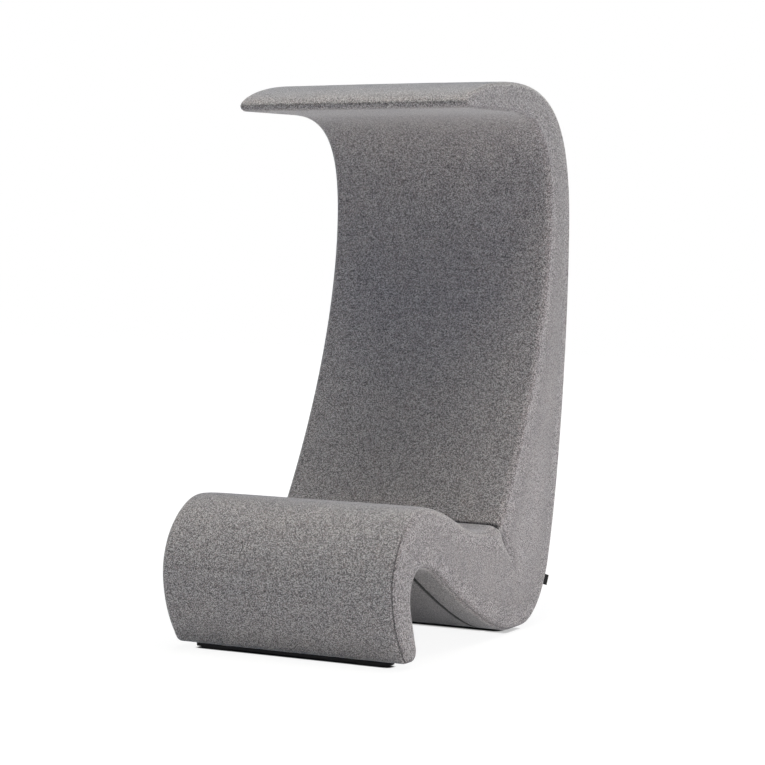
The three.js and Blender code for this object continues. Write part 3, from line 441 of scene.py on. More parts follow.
def runPanel(name, run, settings, low=None, high=None):
    flatHalf = lambda s: halfWidth - s["edge"]
    lowOf = low or (lambda s: -flatHalf(s))
    highOf = high or flatHalf
    rolled = (low is None, high is None)
    gap = shell["gap"] / 2
    distances = gap + crowded(run["length"] - 2 * gap, seamShape["near"], settings["pitch"])
    s = stationsAt(run, distances)
    t, angle = edgeColumns(rolled, settings.get("plainNear", [0]), settings["across"])
    lo, hi = lowOf(s), highOf(s)
    points, normals = skinOver(s, t, angle, lo, hi)

    # a coarser sheet is blown up as cloth, and its rise is read at the finer points
    rows = max(clothRun["fewestRows"], round(run["length"] / settings["clothPitch"]))
    coarse = np.linspace(distances[0], distances[-1], rows)
    cs = stationsAt(run, coarse)
    ct = np.linspace(0, 1, settings["clothAcross"])
    roll = [seamAngle, seamAngle / 2]
    cAngle = np.concatenate([[-a for a in roll] if rolled[0] else [], 0 * ct, roll[::-1] if rolled[1] else []])
    ct = np.concatenate([[0, 0] if rolled[0] else [], ct, [1, 1] if rolled[1] else []])
    sheet, sheetNormals = skinOver(cs, ct, cAngle, lowOf(cs), highOf(cs))
    held = np.zeros(sheet.shape[:2], bool)
    held[[0, -1], :] = held[:, [0, -1]] = True
    for first, last in settings["rests"]:
        margin = clothRun["heldMargin"]
        held[(coarse >= first - margin) & (coarse <= last + margin), :] = True
    rise = swell(name, sheet, sheetNormals, held, settings["swell"])
    crown = soften(spread(rise, coarse, 10 * ct + cAngle, distances, 10 * t + angle))

    # distance of each point from the seams beside it, along the skin
    edge = s["edge"][:, None]
    x = points[..., 0]
    leftRoll = edge * (seamAngle + np.minimum(angle, 0)) if rolled[0] else 0
    rightRoll = edge * (seamAngle - np.maximum(angle, 0)) if rolled[1] else 0
    fromLeft = np.where(angle < 0, edge * (seamAngle + angle), leftRoll + (x - lo[:, None]) * (angle >= 0))
    fromRight = np.where(angle > 0, edge * (seamAngle - angle), rightRoll + (hi[:, None] - x) * (angle <= 0))
    fromSide = np.minimum(fromLeft, fromRight)

    # nothing swells or sinks where the panel rests on a base board
    calm = np.ones_like(distances)
    margin = seamShape["restMargin"]
    for first, last in settings["rests"]:
        calm *= 1 - smoothStep(first - margin, first, distances) * smoothStep(-last - margin, -last, -distances)
    calm = calm[:, None]
    tight = settings["seam"](distances)[:, None]
    calmShare = seamShape["calmSeamShare"]
    dip = seamDip(fromSide, tight * puckerOver(points, 1) * (calmShare + (1 - calmShare) * calm))
    fade = smoothStep(0, seamShape["flatReach"], fromSide) * calm
    # painted shade along the seams, at the ends of the run, low near the rear board and in the crease fold
    paintedShade = settings["shade"](distances)[:, None] * nearSeam(fromSide, seamShape["shadeReach"])
    fromEnds = (distances - distances[0])[:, None], (distances[-1] - distances)[:, None]
    for away, radius, dark in zip(fromEnds, settings["rolls"], settings["shades"]):
        dip = np.maximum(dip, seamDip(away, radius))
        paintedShade = np.maximum(paintedShade, dark * nearSeam(away, radius))
    # painted shade where the underside comes down to the rear board
    for mark, reach, dark in settings.get("low", []):
        paintedShade = np.maximum(paintedShade, dark * nearSeam(np.maximum(distances - mark, 0), reach)[:, None])
    soft = settings["soft"](distances)[:, None] * nearSeam(fromSide, seamShape["softReach"])
    bumps = settings["uneven"] * bumpsOver(points, 2) * fade
    ripple = rippleOver(points, settings["ripple"](distances)[:, None], fromSide, 4) * calm
    fold, foldShade = creaseFold(points)
    onRoll = smoothStep(*foldShape["sides"], np.abs(x))
    paintedShade = np.maximum(paintedShade, foldShade * onRoll)
    height = crown * calm + bumps + ripple - dip - soft - fold * onRoll
    outer = points + normals * height[..., None]

    # the hidden side: the cover alone round the roll, foam down to the boards elsewhere
    skinDepth = shell["cover"] + seamShape["coverSpare"]
    padDepth = shell["cover"] + s["pad"] + seamShape["coverSpare"]
    for first, last in settings["rests"]:
        padDepth = np.where((distances >= first) & (distances <= last), skinDepth, padDepth)
    innerX = np.clip(lo[:, None] + (hi - lo)[:, None] * t, -shell["padEdge"], shell["padEdge"])
    inner = placed(s, innerX, np.broadcast_to(padDepth[:, None], x.shape))
    underSkin = points + normals * (np.minimum(height, 0) - skinDepth)[..., None]
    turned = np.abs(angle) > 0
    inner = np.where(turned[None, :, None], underSkin, inner)
    return padMesh(name, outer, inner, paintedShade, set(np.nonzero(turned)[0].tolist()))


# Finishes
def setInput(tree, socket, value):
    if isinstance(value, bpy.types.NodeSocket):
        tree.links.new(value, socket)
    else:
        socket.default_value = value


def addNode(tree, kind, inputs=None, **options):
    node = tree.nodes.new("ShaderNode" + kind)
    for option, value in options.items():
        setattr(node, option, value)
    for key, value in (inputs or {}).items():
        setInput(tree, node.inputs[key], value)
    return node


def newMaterial(name, settings):
    material = bpy.data.materials.new(name)
    material.use_nodes = True
    tree = material.node_tree
    for key, value in settings.items():
        tree.nodes["Principled BSDF"].inputs[key].default_value = value
    return material, tree, addNode(tree, "TexCoord").outputs["Object"]


def addNoise(tree, vector, scale, detail=2.0, roughness=0.5, distortion=0.0):
    inputs = {"Scale": scale, "Detail": detail, "Roughness": roughness, "Distortion": distortion}
    return addNode(tree, "TexNoise", inputs | {"Vector": vector}).outputs["Fac"]


def addRamp(tree, value, stops):
    ramp = addNode(tree, "ValToRGB", {"Fac": value})
    elements = ramp.color_ramp.elements
    while len(elements) < len(stops):
        elements.new(0.5)
    for element, (position, colour) in zip(elements, stops):
        element.position = position
        element.color = (*colour, 1)
    return ramp.outputs["Color"]


def addShare(tree, value, start, end, most):
    # grey from nothing to most, as the value goes from start to end
    return addRamp(tree, value, [(start, (0, 0, 0)), (end, (most, most, most))])


def addMix(tree, factor, first, second, blend="MIX"):
    colours = [v if isinstance(v, bpy.types.NodeSocket) else (*v, 1) for v in (first, second)]
    inputs = {0: factor, 6: colours[0], 7: colours[1]}
    return addNode(tree, "Mix", inputs, data_type="RGBA", blend_type=blend).outputs[2]


def addMath(tree, operation, first, second):
    return addNode(tree, "Math", {0: first, 1: second}, operation=operation).outputs[0]


def addWeighted(tree, first, firstShare, second, secondShare):
    parts = [addMath(tree, "MULTIPLY", v, k) for v, k in ((first, firstShare), (second, secondShare))]
    return addMath(tree, "ADD", *parts)


def coat(material, colour, height, distance, strength):
    tree = material.node_tree
    shader = tree.nodes["Principled BSDF"]
    bump = addNode(tree, "Bump", {"Distance": distance, "Strength": strength, "Height": height})
    tree.links.new(colour, shader.inputs["Base Color"])
    tree.links.new(bump.outputs["Normal"], shader.inputs["Normal"])
    return material


def addStretch(tree, vector, scale):
    return addNode(tree, "Mapping", {"Scale": scale, "Vector": vector}).outputs["Vector"]


boucle = {
    "shade": (0.05, 0.047, 0.049), "dark": (0.17, 0.163, 0.165), "mid": (0.42, 0.402, 0.405),
    "light": (0.74, 0.718, 0.72), "warm": (0.48, 0.365, 0.35), "stops": (0.36, 0.5, 0.64),
    "loopScale": 400, "loopRandomness": 0.85, "wobbleScale": 210, "wobble": 0.002,
    "fibreScale": 620, "fibreRoughness": 0.65, "loopShare": 0.28, "fibreShare": 0.72,
    "warmFade": (0.72, 0.95, 0.4), "gapFade": (0.4, 0.8, 0.85),  # from, to, most
    "toneScale": 14, "toneLow": (0.96, 0.96, 0.97), "toneHigh": (1.03, 1.02, 1.015), "seamShade": 0.75,
    "loopHeight": 0.8, "fibreHeight": 0.3, "bumpDepth": 0.0016, "bumpStrength": 0.5,
    "shader": {
        "Roughness": 0.92, "Specular IOR Level": 0.15,
        "Sheen Weight": 0.85, "Sheen Roughness": 0.35, "Sheen Tint": (1, 1, 1, 1),
    },
}


def makeBoucle():
    b = boucle
    material, tree, at = newMaterial("melange boucle wool", b["shader"])
    # loops of yarn, each with its own tone, and fine fibres over them
    wobble = addNode(tree, "TexNoise", {"Scale": b["wobbleScale"], "Detail": 1, "Vector": at})
    moved = {0: wobble.outputs["Color"], 1: (b["wobble"],) * 3, 2: at}
    shifted = addNode(tree, "VectorMath", moved, operation="MULTIPLY_ADD").outputs["Vector"]
    yarn = {"Scale": b["loopScale"], "Randomness": b["loopRandomness"], "Vector": shifted}
    loops = addNode(tree, "TexVoronoi", yarn).outputs
    yarnTone = addNode(tree, "SeparateColor", {"Color": loops["Color"]}).outputs
    fibre = addNoise(tree, at, b["fibreScale"], 2.0, b["fibreRoughness"])
    blend = addWeighted(tree, yarnTone["Red"], b["loopShare"], fibre, b["fibreShare"])
    colour = addRamp(tree, blend, list(zip(b["stops"], (b["dark"], b["mid"], b["light"]))))
    # a few warm yarns, dark gaps between the loops, slow tone, and the painted shade in the seams and folds
    colour = addMix(tree, addShare(tree, yarnTone["Green"], *b["warmFade"]), colour, b["warm"])
    colour = addMix(tree, addShare(tree, loops["Distance"], *b["gapFade"]), colour, b["shade"])
    slow = addNoise(tree, at, b["toneScale"])
    tone = addRamp(tree, slow, [(0.3, b["toneLow"]), (0.7, b["toneHigh"])])
    colour = addMix(tree, 1.0, colour, tone, "MULTIPLY")
    # painted shade: the colour goes towards the shade colour where the points' paintedShade says
    paintedShade = addNode(tree, "Attribute", attribute_name="paintedShade").outputs["Fac"]
    colour = addMix(tree, addMath(tree, "MULTIPLY", paintedShade, b["seamShade"]), colour, b["shade"])
    pebble = addMath(tree, "SUBTRACT", 1.0, loops["Distance"])
    height = addWeighted(tree, pebble, b["loopHeight"], fibre, b["fibreHeight"])
    return coat(material, colour, height, b["bumpDepth"], b["bumpStrength"])


def makeFoam():
    material, tree, at = newMaterial("cold foam", {"Roughness": 0.95})
    cells = addNode(tree, "TexVoronoi", {"Scale": 900, "Vector": at}).outputs["Distance"]
    colour = addRamp(tree, cells, [(0.1, (0.55, 0.5, 0.36)), (0.6, (0.74, 0.69, 0.53))])
    return coat(material, colour, cells, distance=0.0006, strength=0.5)


def makeWood(name, pale, dark, stretch, scale, plies=0.0):
    material, tree, at = newMaterial(name, {"Roughness": 0.6})
    grain = addNoise(tree, addStretch(tree, at, stretch), scale, 5.0, 0.6, 1.2)
    fine = addNoise(tree, addStretch(tree, at, stretch), scale * 9, 3.0, 0.6)
    colour = addRamp(tree, grain, [(0.3, dark), (0.48, pale), (0.7, dark)])
    colour = addMix(tree, 0.25, colour, addRamp(tree, fine, [(0.35, dark), (0.65, pale)]))
    if plies:
        wave = {"Scale": plies, "Distortion": 0.3, "Vector": at}
        layers = addNode(tree, "TexWave", wave, bands_direction="X").outputs["Fac"]
        shade = addRamp(tree, layers, [(0.4, (0.82, 0.8, 0.78)), (0.6, (1, 1, 1))])
        colour = addMix(tree, 1.0, colour, shade, "MULTIPLY")
    return coat(material, colour, fine, distance=0.0004, strength=0.4)


def makeWoven(name, dark, light, scale):
    material, tree, at = newMaterial(name, {"Roughness": 0.85})
    wave = {"Scale": scale, "Distortion": 0.6, "Detail": 1, "Vector": at}
    threads = [addNode(tree, "TexWave", wave, bands_direction=way).outputs["Fac"] for way in ("X", "Z")]
    weave = addMath(tree, "MULTIPLY", *threads)
    colour = addRamp(tree, weave, [(0.05, dark), (0.7, light)])
    return coat(material, colour, weave, distance=0.0003, strength=0.7)


def makeSteel():
    material, tree, at = newMaterial("zinc plated steel", {"Roughness": 0.34, "Metallic": 1.0})
    cloud = addNoise(tree, at, 260, 3.0, 0.55)
    colour = addRamp(tree, cloud, [(0.35, (0.52, 0.53, 0.55)), (0.65, (0.7, 0.71, 0.72))])
    scratch = addNoise(tree, addStretch(tree, at, (1, 6, 1)), 900)
    return coat(material, colour, scratch, distance=0.00008, strength=0.4)


def makeBlack(name, dark, light, roughness, grainScale):
    material, tree, at = newMaterial(name, {"Roughness": roughness, "Specular IOR Level": 0.15})
    grain = addNoise(tree, at, grainScale, 3.0, 0.6)
    wear = addNoise(tree, at, 22, 3.0, 0.6)
    mixed = addWeighted(tree, grain, 0.5, wear, 0.5)
    colour = addRamp(tree, mixed, [(0.35, dark), (0.7, light)])
    return coat(material, colour, grain, distance=0.0002, strength=0.5)


finishes = {
    "cover": makeBoucle(),
    "foam": makeFoam(),
    "plywood": makeWood("birch plywood", (0.66, 0.48, 0.29), (0.5, 0.34, 0.19), (3, 1, 0.35), 9, plies=110),
    "timber": makeWood("planed softwood", (0.72, 0.54, 0.33), (0.56, 0.38, 0.21), (0.3, 3, 3), 12),
    "webbing": makeWoven("elastic webbing", (0.012, 0.012, 0.014), (0.07, 0.07, 0.075), 260),
    "tape": makeWoven("woven tape", (0.002, 0.002, 0.0025), (0.012, 0.012, 0.013), 700),
    "teeth": makeBlack("black zip teeth", (0.003, 0.003, 0.004), (0.012, 0.012, 0.013), 0.5, 1500),
    "steel": makeSteel(),
    "base": makeBlack("black base board", (0.004, 0.004, 0.005), (0.013, 0.013, 0.014), 0.62, 700),
    "glide": makeBlack("black nylon", (0.004, 0.004, 0.004), (0.011, 0.011, 0.011), 0.5, 1100),
}

finishOf = {  # finish, and how the names of its nodes begin
    "plywood": ("board_", "rib_", "splice_plate"), "timber": ("rail_",),
    "webbing": ("seat_webbing", "back_webbing"), "tape": ("zip_tape", "label_tab"),
    "steel": ("splice_bolt", "base_screw", "zip_slider", "zip_pull", "zip_bottom_stop"),
    "base": ("base_board",), "glide": ("glide_",), "cover": ("cover_",), "foam": ("foam_",),
}
for nodeName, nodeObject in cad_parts.items():
    finish = next(k for k, starts in finishOf.items() if nodeName.startswith(starts))
    for nodeSlot in nodeObject.material_slots:
        nodeSlot.link = "OBJECT"
        nodeSlot.material = finishes[finish]
print("finishes on", len(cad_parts), "nodes")


# The pads
def between(run, first, last):
    return (run["marks"][first], run["marks"][last])


def constant(value):
    return lambda d: np.full_like(d, value)


front, back, rear, under = (runs[k] for k in ("front", "back", "rear", "under"))
legShape = {  # reaches along the run, before and after the knee
    "tightFrom": 190, "tightTo": 40, "seam": 1.2, "seamMore": 1.5, "shade": 0.06, "shadeMore": 0.94,
    "soft": 2.6, "softFrom": 190, "softTo": 70, "softUntil": 50, "softEnd": 200,
}
# seam radius, and how dark the painted shade along the seam is
plainSeam = {"radius": 1.1, "shade": 0.05}
underSeam = {"radius": 1.7, "shade": 0.6}


def onLeg(d):
    knee = front["marks"]["knee"]
    return 1 - smoothStep(knee - legShape["tightFrom"], knee - legShape["tightTo"], d)


def frontSeamRadius(d):
    # the seams of the leg are pulled tighter than those of the seat
    return legShape["seam"] + legShape["seamMore"] * onLeg(d)


def kneeSoftness(d):
    # the corners of the knee roll are a little softer than the rest of the edge
    knee, k = front["marks"]["knee"], legShape
    rising = k["soft"] * smoothStep(knee - k["softFrom"], knee - k["softTo"], d)
    return rising * (1 - smoothStep(knee + k["softUntil"], knee + k["softEnd"], d))


# how dark the painted shade in the seams is, strongest on the leg
def legShade(d):
    return legShape["shade"] + legShape["shadeMore"] * onLeg(d)


zipShape = {
    "across": 258, "slot": 10, "gap": 0.3, "startAhead": 47, "clear": 0.3, "mouth": 1.1, "opens": 5,
    "toothPitch": 2.6, "tapeDepth": 0.9, "toothDepth": 0.3, "backDepth": 1.9, "ends": 0.5,
    "columns": [3.9, 3.0, 2.4, 2.2, 1.2], "raised": [0, 0, 0, 0, 0.75, 1, 0.8], "betweenTeeth": 0.25,
    "firstToothColumn": 3.6, "beside": np.array([0, 0.8, 1.8, 3.4, 6]), "undersideFlat": 574, "flapFlat": 60,
}
plainPad = {
    "shade": constant(plainSeam["shade"]), "seam": constant(plainSeam["radius"]),
    "ripple": constant(0.3), "soft": constant(0.0), "rests": [],
}
underPad = {
    "pitch": 7, "clothPitch": 17, "rolls": (1.2, 1.2), "shades": (0.6, 0.6),
    "shade": constant(underSeam["shade"]), "seam": constant(underSeam["radius"]),
    "ripple": constant(0.6), "soft": constant(0.0),
    "rests": [between(under, "rearSeam", "footFore"), between(under, "footRear", "frontSeam")],
    # mark, reach and darkness of the painted shade where the underside comes down to the rear board
    "low": [(under["marks"]["footFore"], 70, 0.95)],
}
# the shades are painted shade at the seams where each run starts and ends
padSettings = {  # rolls and shades: at the start and at the end of the run
    "legAndSeat": {
        "pitch": 7, "across": 84, "clothPitch": 17, "clothAcross": 30, "swell": 2.2, "uneven": 0.35,
        "rolls": (1.2, 7), "shades": (0.7, 1.0), "shade": legShade,
        "seam": frontSeamRadius, "ripple": constant(0.5), "soft": kneeSoftness,
        "rests": [between(front, "frontSeam", "footFront")],
    },
    "backrest": plainPad | {
        "pitch": 8, "across": 84, "clothPitch": 19, "clothAcross": 30, "swell": 2.0, "uneven": 0.4,
        "rolls": (6, 0.7), "shades": (1.0, 0.0),
    },
    "topAndRear": plainPad | {
        "pitch": 9, "across": 80, "clothPitch": 22, "clothAcross": 28, "swell": 2.0, "uneven": 0.4,
        "rolls": (0.7, 1.2), "shades": (0.0, 0.6),
        "rests": [between(rear, "footBack", "rearSeam")],
    },
    "underside": underPad | {
        "across": 76, "clothAcross": 26, "swell": 1.6, "uneven": 0.35,
        "plainNear": zipShape["beside"] / zipShape["undersideFlat"],
    },
    "zipFlap": underPad | {
        "across": 8, "clothAcross": 5, "swell": 0.7, "uneven": 0.2,
        "plainNear": zipShape["beside"] / zipShape["flapFlat"],
    },
}
rearBoardMiddle = anchors["footBack"][0] - shell["heelFlat"] / 2
firstBends = slice(0, 120)  # the underside's run as far as it only goes forward
zipFrom = float(np.interp(
    -(rearBoardMiddle - zipShape["startAhead"]), -under["place"][firstBends, 0], under["distance"][firstBends]))
zipTo = under["marks"]["ankle"]


def slotHalf(s):
    d, opens = s["distance"], zipShape["opens"]
    openness = smoothStep(zipFrom - opens, zipFrom, d) * (1 - smoothStep(zipTo, zipTo + opens, d))
    return (zipShape["gap"] + (zipShape["slot"] - zipShape["gap"]) * openness) / 2


panels = [  # name, run, settings, nodes that it stands for, how full it is, and its edge at the zip
    ("leg_and_seat_pad", front, "legAndSeat", ["cover_leg_and_seat", "foam_leg_and_seat"], 0.9, {}),
    ("backrest_pad", back, "backrest", ["cover_backrest", "foam_backrest"], 0.9, {}),
    ("top_and_rear_pad", rear, "topAndRear", ["cover_top_and_rear", "foam_top_and_rear"], 0.95, {}),
    ("underside_pad", under, "underside", ["cover_underside", "foam_underside"], 0.95,
     {"high": lambda s: zipShape["across"] - slotHalf(s)}),
    ("zip_flap_panel", under, "zipFlap", ["cover_zip_flap"], 0.9,
     {"low": lambda s: zipShape["across"] + slotHalf(s)}),
]
pads = [(runPanel(name, run, padSettings[kind], **edges), stoodFor, fill)
        for name, run, kind, stoodFor, fill, edges in panels]


def zipTape(name, side):
    # half of the zip in the slot: woven tape at the edge, teeth at the mouth, one row of points a half tooth
    z = zipShape
    distances = np.arange(zipFrom + z["ends"], zipTo - z["ends"], z["toothPitch"] / 2)
    s = stationsAt(under, distances)
    tooth = (np.arange(len(distances)) + (side > 0)) % 2
    across = np.array([z["slot"] / 2 - z["clear"], *z["columns"], z["mouth"] / 2])
    standing = z["betweenTeeth"] + (1 - z["betweenTeeth"]) * tooth[:, None]
    depth = z["tapeDepth"] - (z["tapeDepth"] - z["toothDepth"]) * np.array(z["raised"]) * standing
    x = z["across"] + side * across
    sheets = [toRow(placed(s, x, layer)) for layer in (depth, np.full_like(depth, z["backDepth"]))]
    bm, row, col, ring = sheetGrid(*depth.shape, sheets)
    for face in bm.faces:
        onTeeth = sum(v[col] for v in face.verts) > z["firstToothColumn"] * len(face.verts)
        face.material_index = 1 if onTeeth else 0
    bmesh.ops.remove_doubles(bm, verts=bm.verts, dist=weld["within"])
    bmesh.ops.recalc_face_normals(bm, faces=bm.faces)
    piece = finishMesh(name, bm, [finishes["tape"], finishes["teeth"]])
    return piece


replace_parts(zipTape("zip_half_inner", -1), "zip_tape_inner")
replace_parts(zipTape("zip_half_outer", 1), "zip_tape_outer")
print("zip made")

# Side pads: rungs join the inner run (nose to crease to foot) to the outer run (nose to heel to foot)
sidePad = {
    "rungPitch": 7.5, "across": 34, "clothRungs": 150, "clothAcross": 13, "swell": 2.0, "uneven": 0.25,
    "ripple": 0.2, "endFade": 25, "fewestSteps": 3, "coverSpare": 0.4,
    "foamFollows": 1.35, "foamSpare": 1.8, "creaseLowered": 14, "creaseReach": 11, "heelLowShare": 0.72,
    "pairs": [  # mark on the inner run, mark on the outer run, both passed by the same rung
        ("nose", "nose"), ("canopyRoot", "crown"), ("head", "rear"), ("crease", "heelLow"), ("dip", "footFore"),
        ("knee", "arch"), ("shin", "calf"), ("shinCorner", "ankle"), ("frontSeam", "frontSeam"),
    ],
}


chainParts = ("place", "inward", "outward", "pad", "edge")


def chainStations(first, second, turned):
    # two runs as one, with the distance along both
    order = -1 if turned else 1
    parts = [stationsAt(run, run["distance"][::order]) for run in (first, second)]
    joined = {k: np.concatenate([part[k] for part in parts]) for k in chainParts}
    marks, along, passed = {}, [], 0
    for run in (first, second):
        length = run["length"]
        along.append(passed + (length - run["distance"][::-1] if turned else run["distance"]))
        marks |= {k: passed + length - v if turned else passed + v for k, v in run["marks"].items()}
        passed += length
    return joined | {"distance": np.concatenate(along), "marks": marks}


innerChain = chainStations(back, front, True)
outerChain = chainStations(rear, under, False)
outerChain["marks"]["nose"] = 0.0
heel, footBack = (outerChain["marks"][k] for k in ("heel", "footBack"))
outerChain["marks"]["heelLow"] = heel + sidePad["heelLowShare"] * (footBack - heel)
innerMarks = [innerChain["marks"][a] for a, _ in sidePad["pairs"]]
outerMarks = [outerChain["marks"][b] for _, b in sidePad["pairs"]]


def readChain(chain, distances):
    keep = np.concatenate([[True], np.diff(chain["distance"]) > 1e-9])  # the two runs share one station
    base = chain["distance"][keep]
    return {"distance": distances} | {k: readAt(distances, base, chain[k][keep]) for k in chainParts}


def sideSkin(rungs, angle, t):
    # rungs: shares along the pairs of marks; columns: roll up, across the face, roll down
    knots = np.arange(len(innerMarks))
    a = readChain(innerChain, np.interp(rungs, knots, innerMarks))
    b = readChain(outerChain, np.interp(rungs, knots, outerMarks))
    rollA, rollB = (skinOver(s, 0, angle, *[halfWidth - s["edge"]] * 2) for s in (a, b))
    faceA, faceB = rollA[0][:, -1:], rollB[0][:, -1:]
    face = faceA + (faceB - faceA) * t[None, :, None]
    faceNormals = np.zeros_like(face)
    faceNormals[..., 0] = 1
    points = np.concatenate([rollA[0], face, rollB[0][:, ::-1]], axis=1)
    normals = np.concatenate([rollA[1], faceNormals, rollB[1][:, ::-1]], axis=1)
    return points, normals, a, b


def rungShares(count, aroundFold):
    # rungs spaced by the longer of the two chains between the marks, and closer beside the fold
    shares = [0.0]
    spans = np.maximum(np.diff(innerMarks), np.diff(outerMarks))
    total = sum(spans)
    for index, span in enumerate(spans):
        steps = max(sidePad["fewestSteps"], round(count * span / total))
        shares += [index + (k + 1) / steps for k in range(steps)]
    fold = [a for a, _ in sidePad["pairs"]].index("crease")
    closest = foldShape["closestRungs"] / spans[fold]
    for offset in aroundFold:
        near = [fold - offset / spans[fold - 1], fold + offset / spans[fold]]
        shares = [share for share in shares if min(abs(share - v) for v in near) > closest] + near
    return np.array(sorted(shares))


def sideColumns(roll, t):
    # one number a column, by which the cloth's rise is read
    return np.concatenate([roll - quarterTurn, 10 * t, 10 + (quarterTurn - roll[::-1])])


def sidePadMesh(name, side, rise):
    rollUp = (1 - rollShares) * (quarterTurn - seamAngle) + seamAngle
    t = np.linspace(0, 1, sidePad["across"] + 1)
    rungs = rungShares(round(outerChain["distance"][-1] / sidePad["rungPitch"]), foldShape["rungs"])
    points, normals, a, b = sideSkin(rungs, rollUp, t)
    count = len(rollUp)
    crown = soften(spread(rise["height"], rise["rungs"], rise["columns"], rungs, sideColumns(rollUp, t)))
    # no swell at the two ends, where the pad has no width
    along, ends = a["distance"], sidePad["endFade"]
    crown *= (smoothStep(0, ends, along) * smoothStep(0, ends, along[-1] - along))[:, None]
    edgeA, edgeB = a["edge"][:, None], b["edge"][:, None]
    face = points[:, count:-count]
    fromA = np.linalg.norm(face - face[:, :1], axis=-1) + edgeA * (quarterTurn - seamAngle)
    fromB = np.linalg.norm(face - face[:, -1:], axis=-1) + edgeB * (quarterTurn - seamAngle)
    fromSeam = np.concatenate([
        edgeA * (rollUp - seamAngle), np.minimum(fromA, fromB), edgeB * (rollUp[::-1] - seamAngle),
    ], axis=1)

    # the seams and the softened knee match those of the panels beside them
    onFront = back["length"] + front["length"] - along
    frontPart, underPart = along > back["length"], b["distance"] > rear["length"]
    radiusA = np.where(frontPart, frontSeamRadius(onFront), plainSeam["radius"])[:, None]
    radiusB = np.where(underPart, underSeam["radius"], plainSeam["radius"])[:, None]
    whole = np.ones((len(rungs), count), bool)
    inFirstHalf = np.concatenate([whole, fromA < fromB, ~whole], axis=1)
    dip = seamDip(fromSeam, np.where(inFirstHalf, radiusA, radiusB) * puckerOver(points, 5))
    softA = np.where(frontPart, kneeSoftness(onFront), 0.0)[:, None]
    soft = np.where(inFirstHalf, softA * nearSeam(fromSeam, seamShape["softReach"]), 0)
    bumps = sidePad["uneven"] * bumpsOver(points, 6) * smoothStep(0, seamShape["flatReach"], fromSeam)
    ripple = rippleOver(points, sidePad["ripple"], fromSeam, 8)
    fold, foldShade = creaseFold(points)
    # painted shade along the seams and in the crease fold, as on the panels
    shadeA = np.where(frontPart, legShade(onFront), plainSeam["shade"])[:, None]
    shadeB = np.where(underPart, underSeam["shade"], plainSeam["shade"])[:, None]
    seamShadow = np.where(inFirstHalf, shadeA, shadeB) * nearSeam(fromSeam, seamShape["shadeReach"])
    paintedShade = np.maximum(seamShadow, foldShade)
    height = crown + bumps + ripple - dip - soft - fold
    outer = points + normals * height[..., None]

    # the foam under the seams keeps below the skin, which turns in there, most of all at the crease
    skinDepth = shell["cover"] + sidePad["coverSpare"]
    fromFace = quarterTurn - rollUp
    follows, spare = sidePad["foamFollows"], sidePad["foamSpare"]
    loweredA = np.maximum(softA + follows * radiusA - spare, 0)[:, 0] / math.cos(seamAngle)
    loweredA += sidePad["creaseLowered"] * nearSeam(along - back["length"], sidePad["creaseReach"])
    loweredB = np.maximum(follows * radiusB - spare, 0)[:, 0] / math.cos(seamAngle)
    parts = []
    for s, lower in ((a, loweredA), (b, loweredB)):
        edge = s["edge"][:, None]
        radius = edge - skinDepth
        depth = edge - radius * np.cos(fromFace) + lower[:, None]
        parts.append(placed(s, halfWidth - edge + radius * np.sin(fromFace), depth))
    flatA, flatB = parts[0][:, -1:].copy(), parts[1][:, -1:].copy()
    flatA[..., 0] = flatB[..., 0] = shell["sidePadInner"]
    inner = np.concatenate([parts[0], flatA + (flatB - flatA) * t[None, :, None], parts[1][:, ::-1]], axis=1)
    for sheet in (outer, inner):
        sheet[..., 0] *= side
    return padMesh(name, outer, inner, paintedShade, set(), pointed=True)


def sideSwell():
    rungs = rungShares(sidePad["clothRungs"], [])[2:-2]  # the very ends have no width
    t = np.linspace(0, 1, sidePad["clothAcross"])[1:-1]
    roll = np.array([seamAngle, (seamAngle + quarterTurn) / 2, quarterTurn])
    points, normals, a, b = sideSkin(rungs, roll, t)
    held = np.zeros(points.shape[:2], bool)
    held[:, [0, -1]] = held[[0, -1], :] = True
    height = swell("side_pad", points, normals, held, sidePad["swell"])
    return {"rungs": rungs, "columns": sideColumns(roll, t), "height": height}


sideRise = sideSwell()
pads.append((sidePadMesh("side_pad_left", 1, sideRise), ["cover_side_left", "foam_side_left"], 0.9))
pads.append((sidePadMesh("side_pad_right", -1, sideRise), ["cover_side_right", "foam_side_right"], 0.9))
for piece, stoodFor, fill in pads:
    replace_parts(piece, *stoodFor)
print("pads made:", len(pads))

# Studio
studio = {
    "lens": 113.064, "sensor": 36, "place": (3.07146, -5.70489, 1.13747),
    "azimuth": 28.10778, "elevation": 4.03862, "roll": 0.36661, "worldLight": (0.186, 0.216, 0.285),
    "floorSize": 12, "floorColour": (0.86, 0.86, 0.86), "floorShown": 0.86, "floorGlow": 1.07,
    "floorFade": (0.9, 2.2), "contactReach": 0.011, "contactFade": (0.38, 0.92), "contactSamples": 16,
    "lamps": [  # place, aim, size, watts, colour
        ("high lamp", (0.3, 0.2, 8.0), (0, 0, 1), 6.0, 360, (1, 0.985, 0.95)),
        ("front lamp", (0.5, -2.8, 7.0), (0, -0.2, 0.6), 4.5, 125, (1, 0.95, 0.66)),
        ("sky lamp", (3.0, -0.8, 7.5), (0, 0, 0.8), 4.0, 25, (1, 0.85, 0.7)),
        ("rear lamp", (1.6, 3.0, 3.6), (0.2, 0.2, 1.3), 2.0, 15, (0.85, 1, 0.88)),
        ("side lamp", (2.3, 0.1, 0.45), (0, 0.1, 0.45), 1.2, 12.5, (1, 0.88, 0.86)),
    ],
}


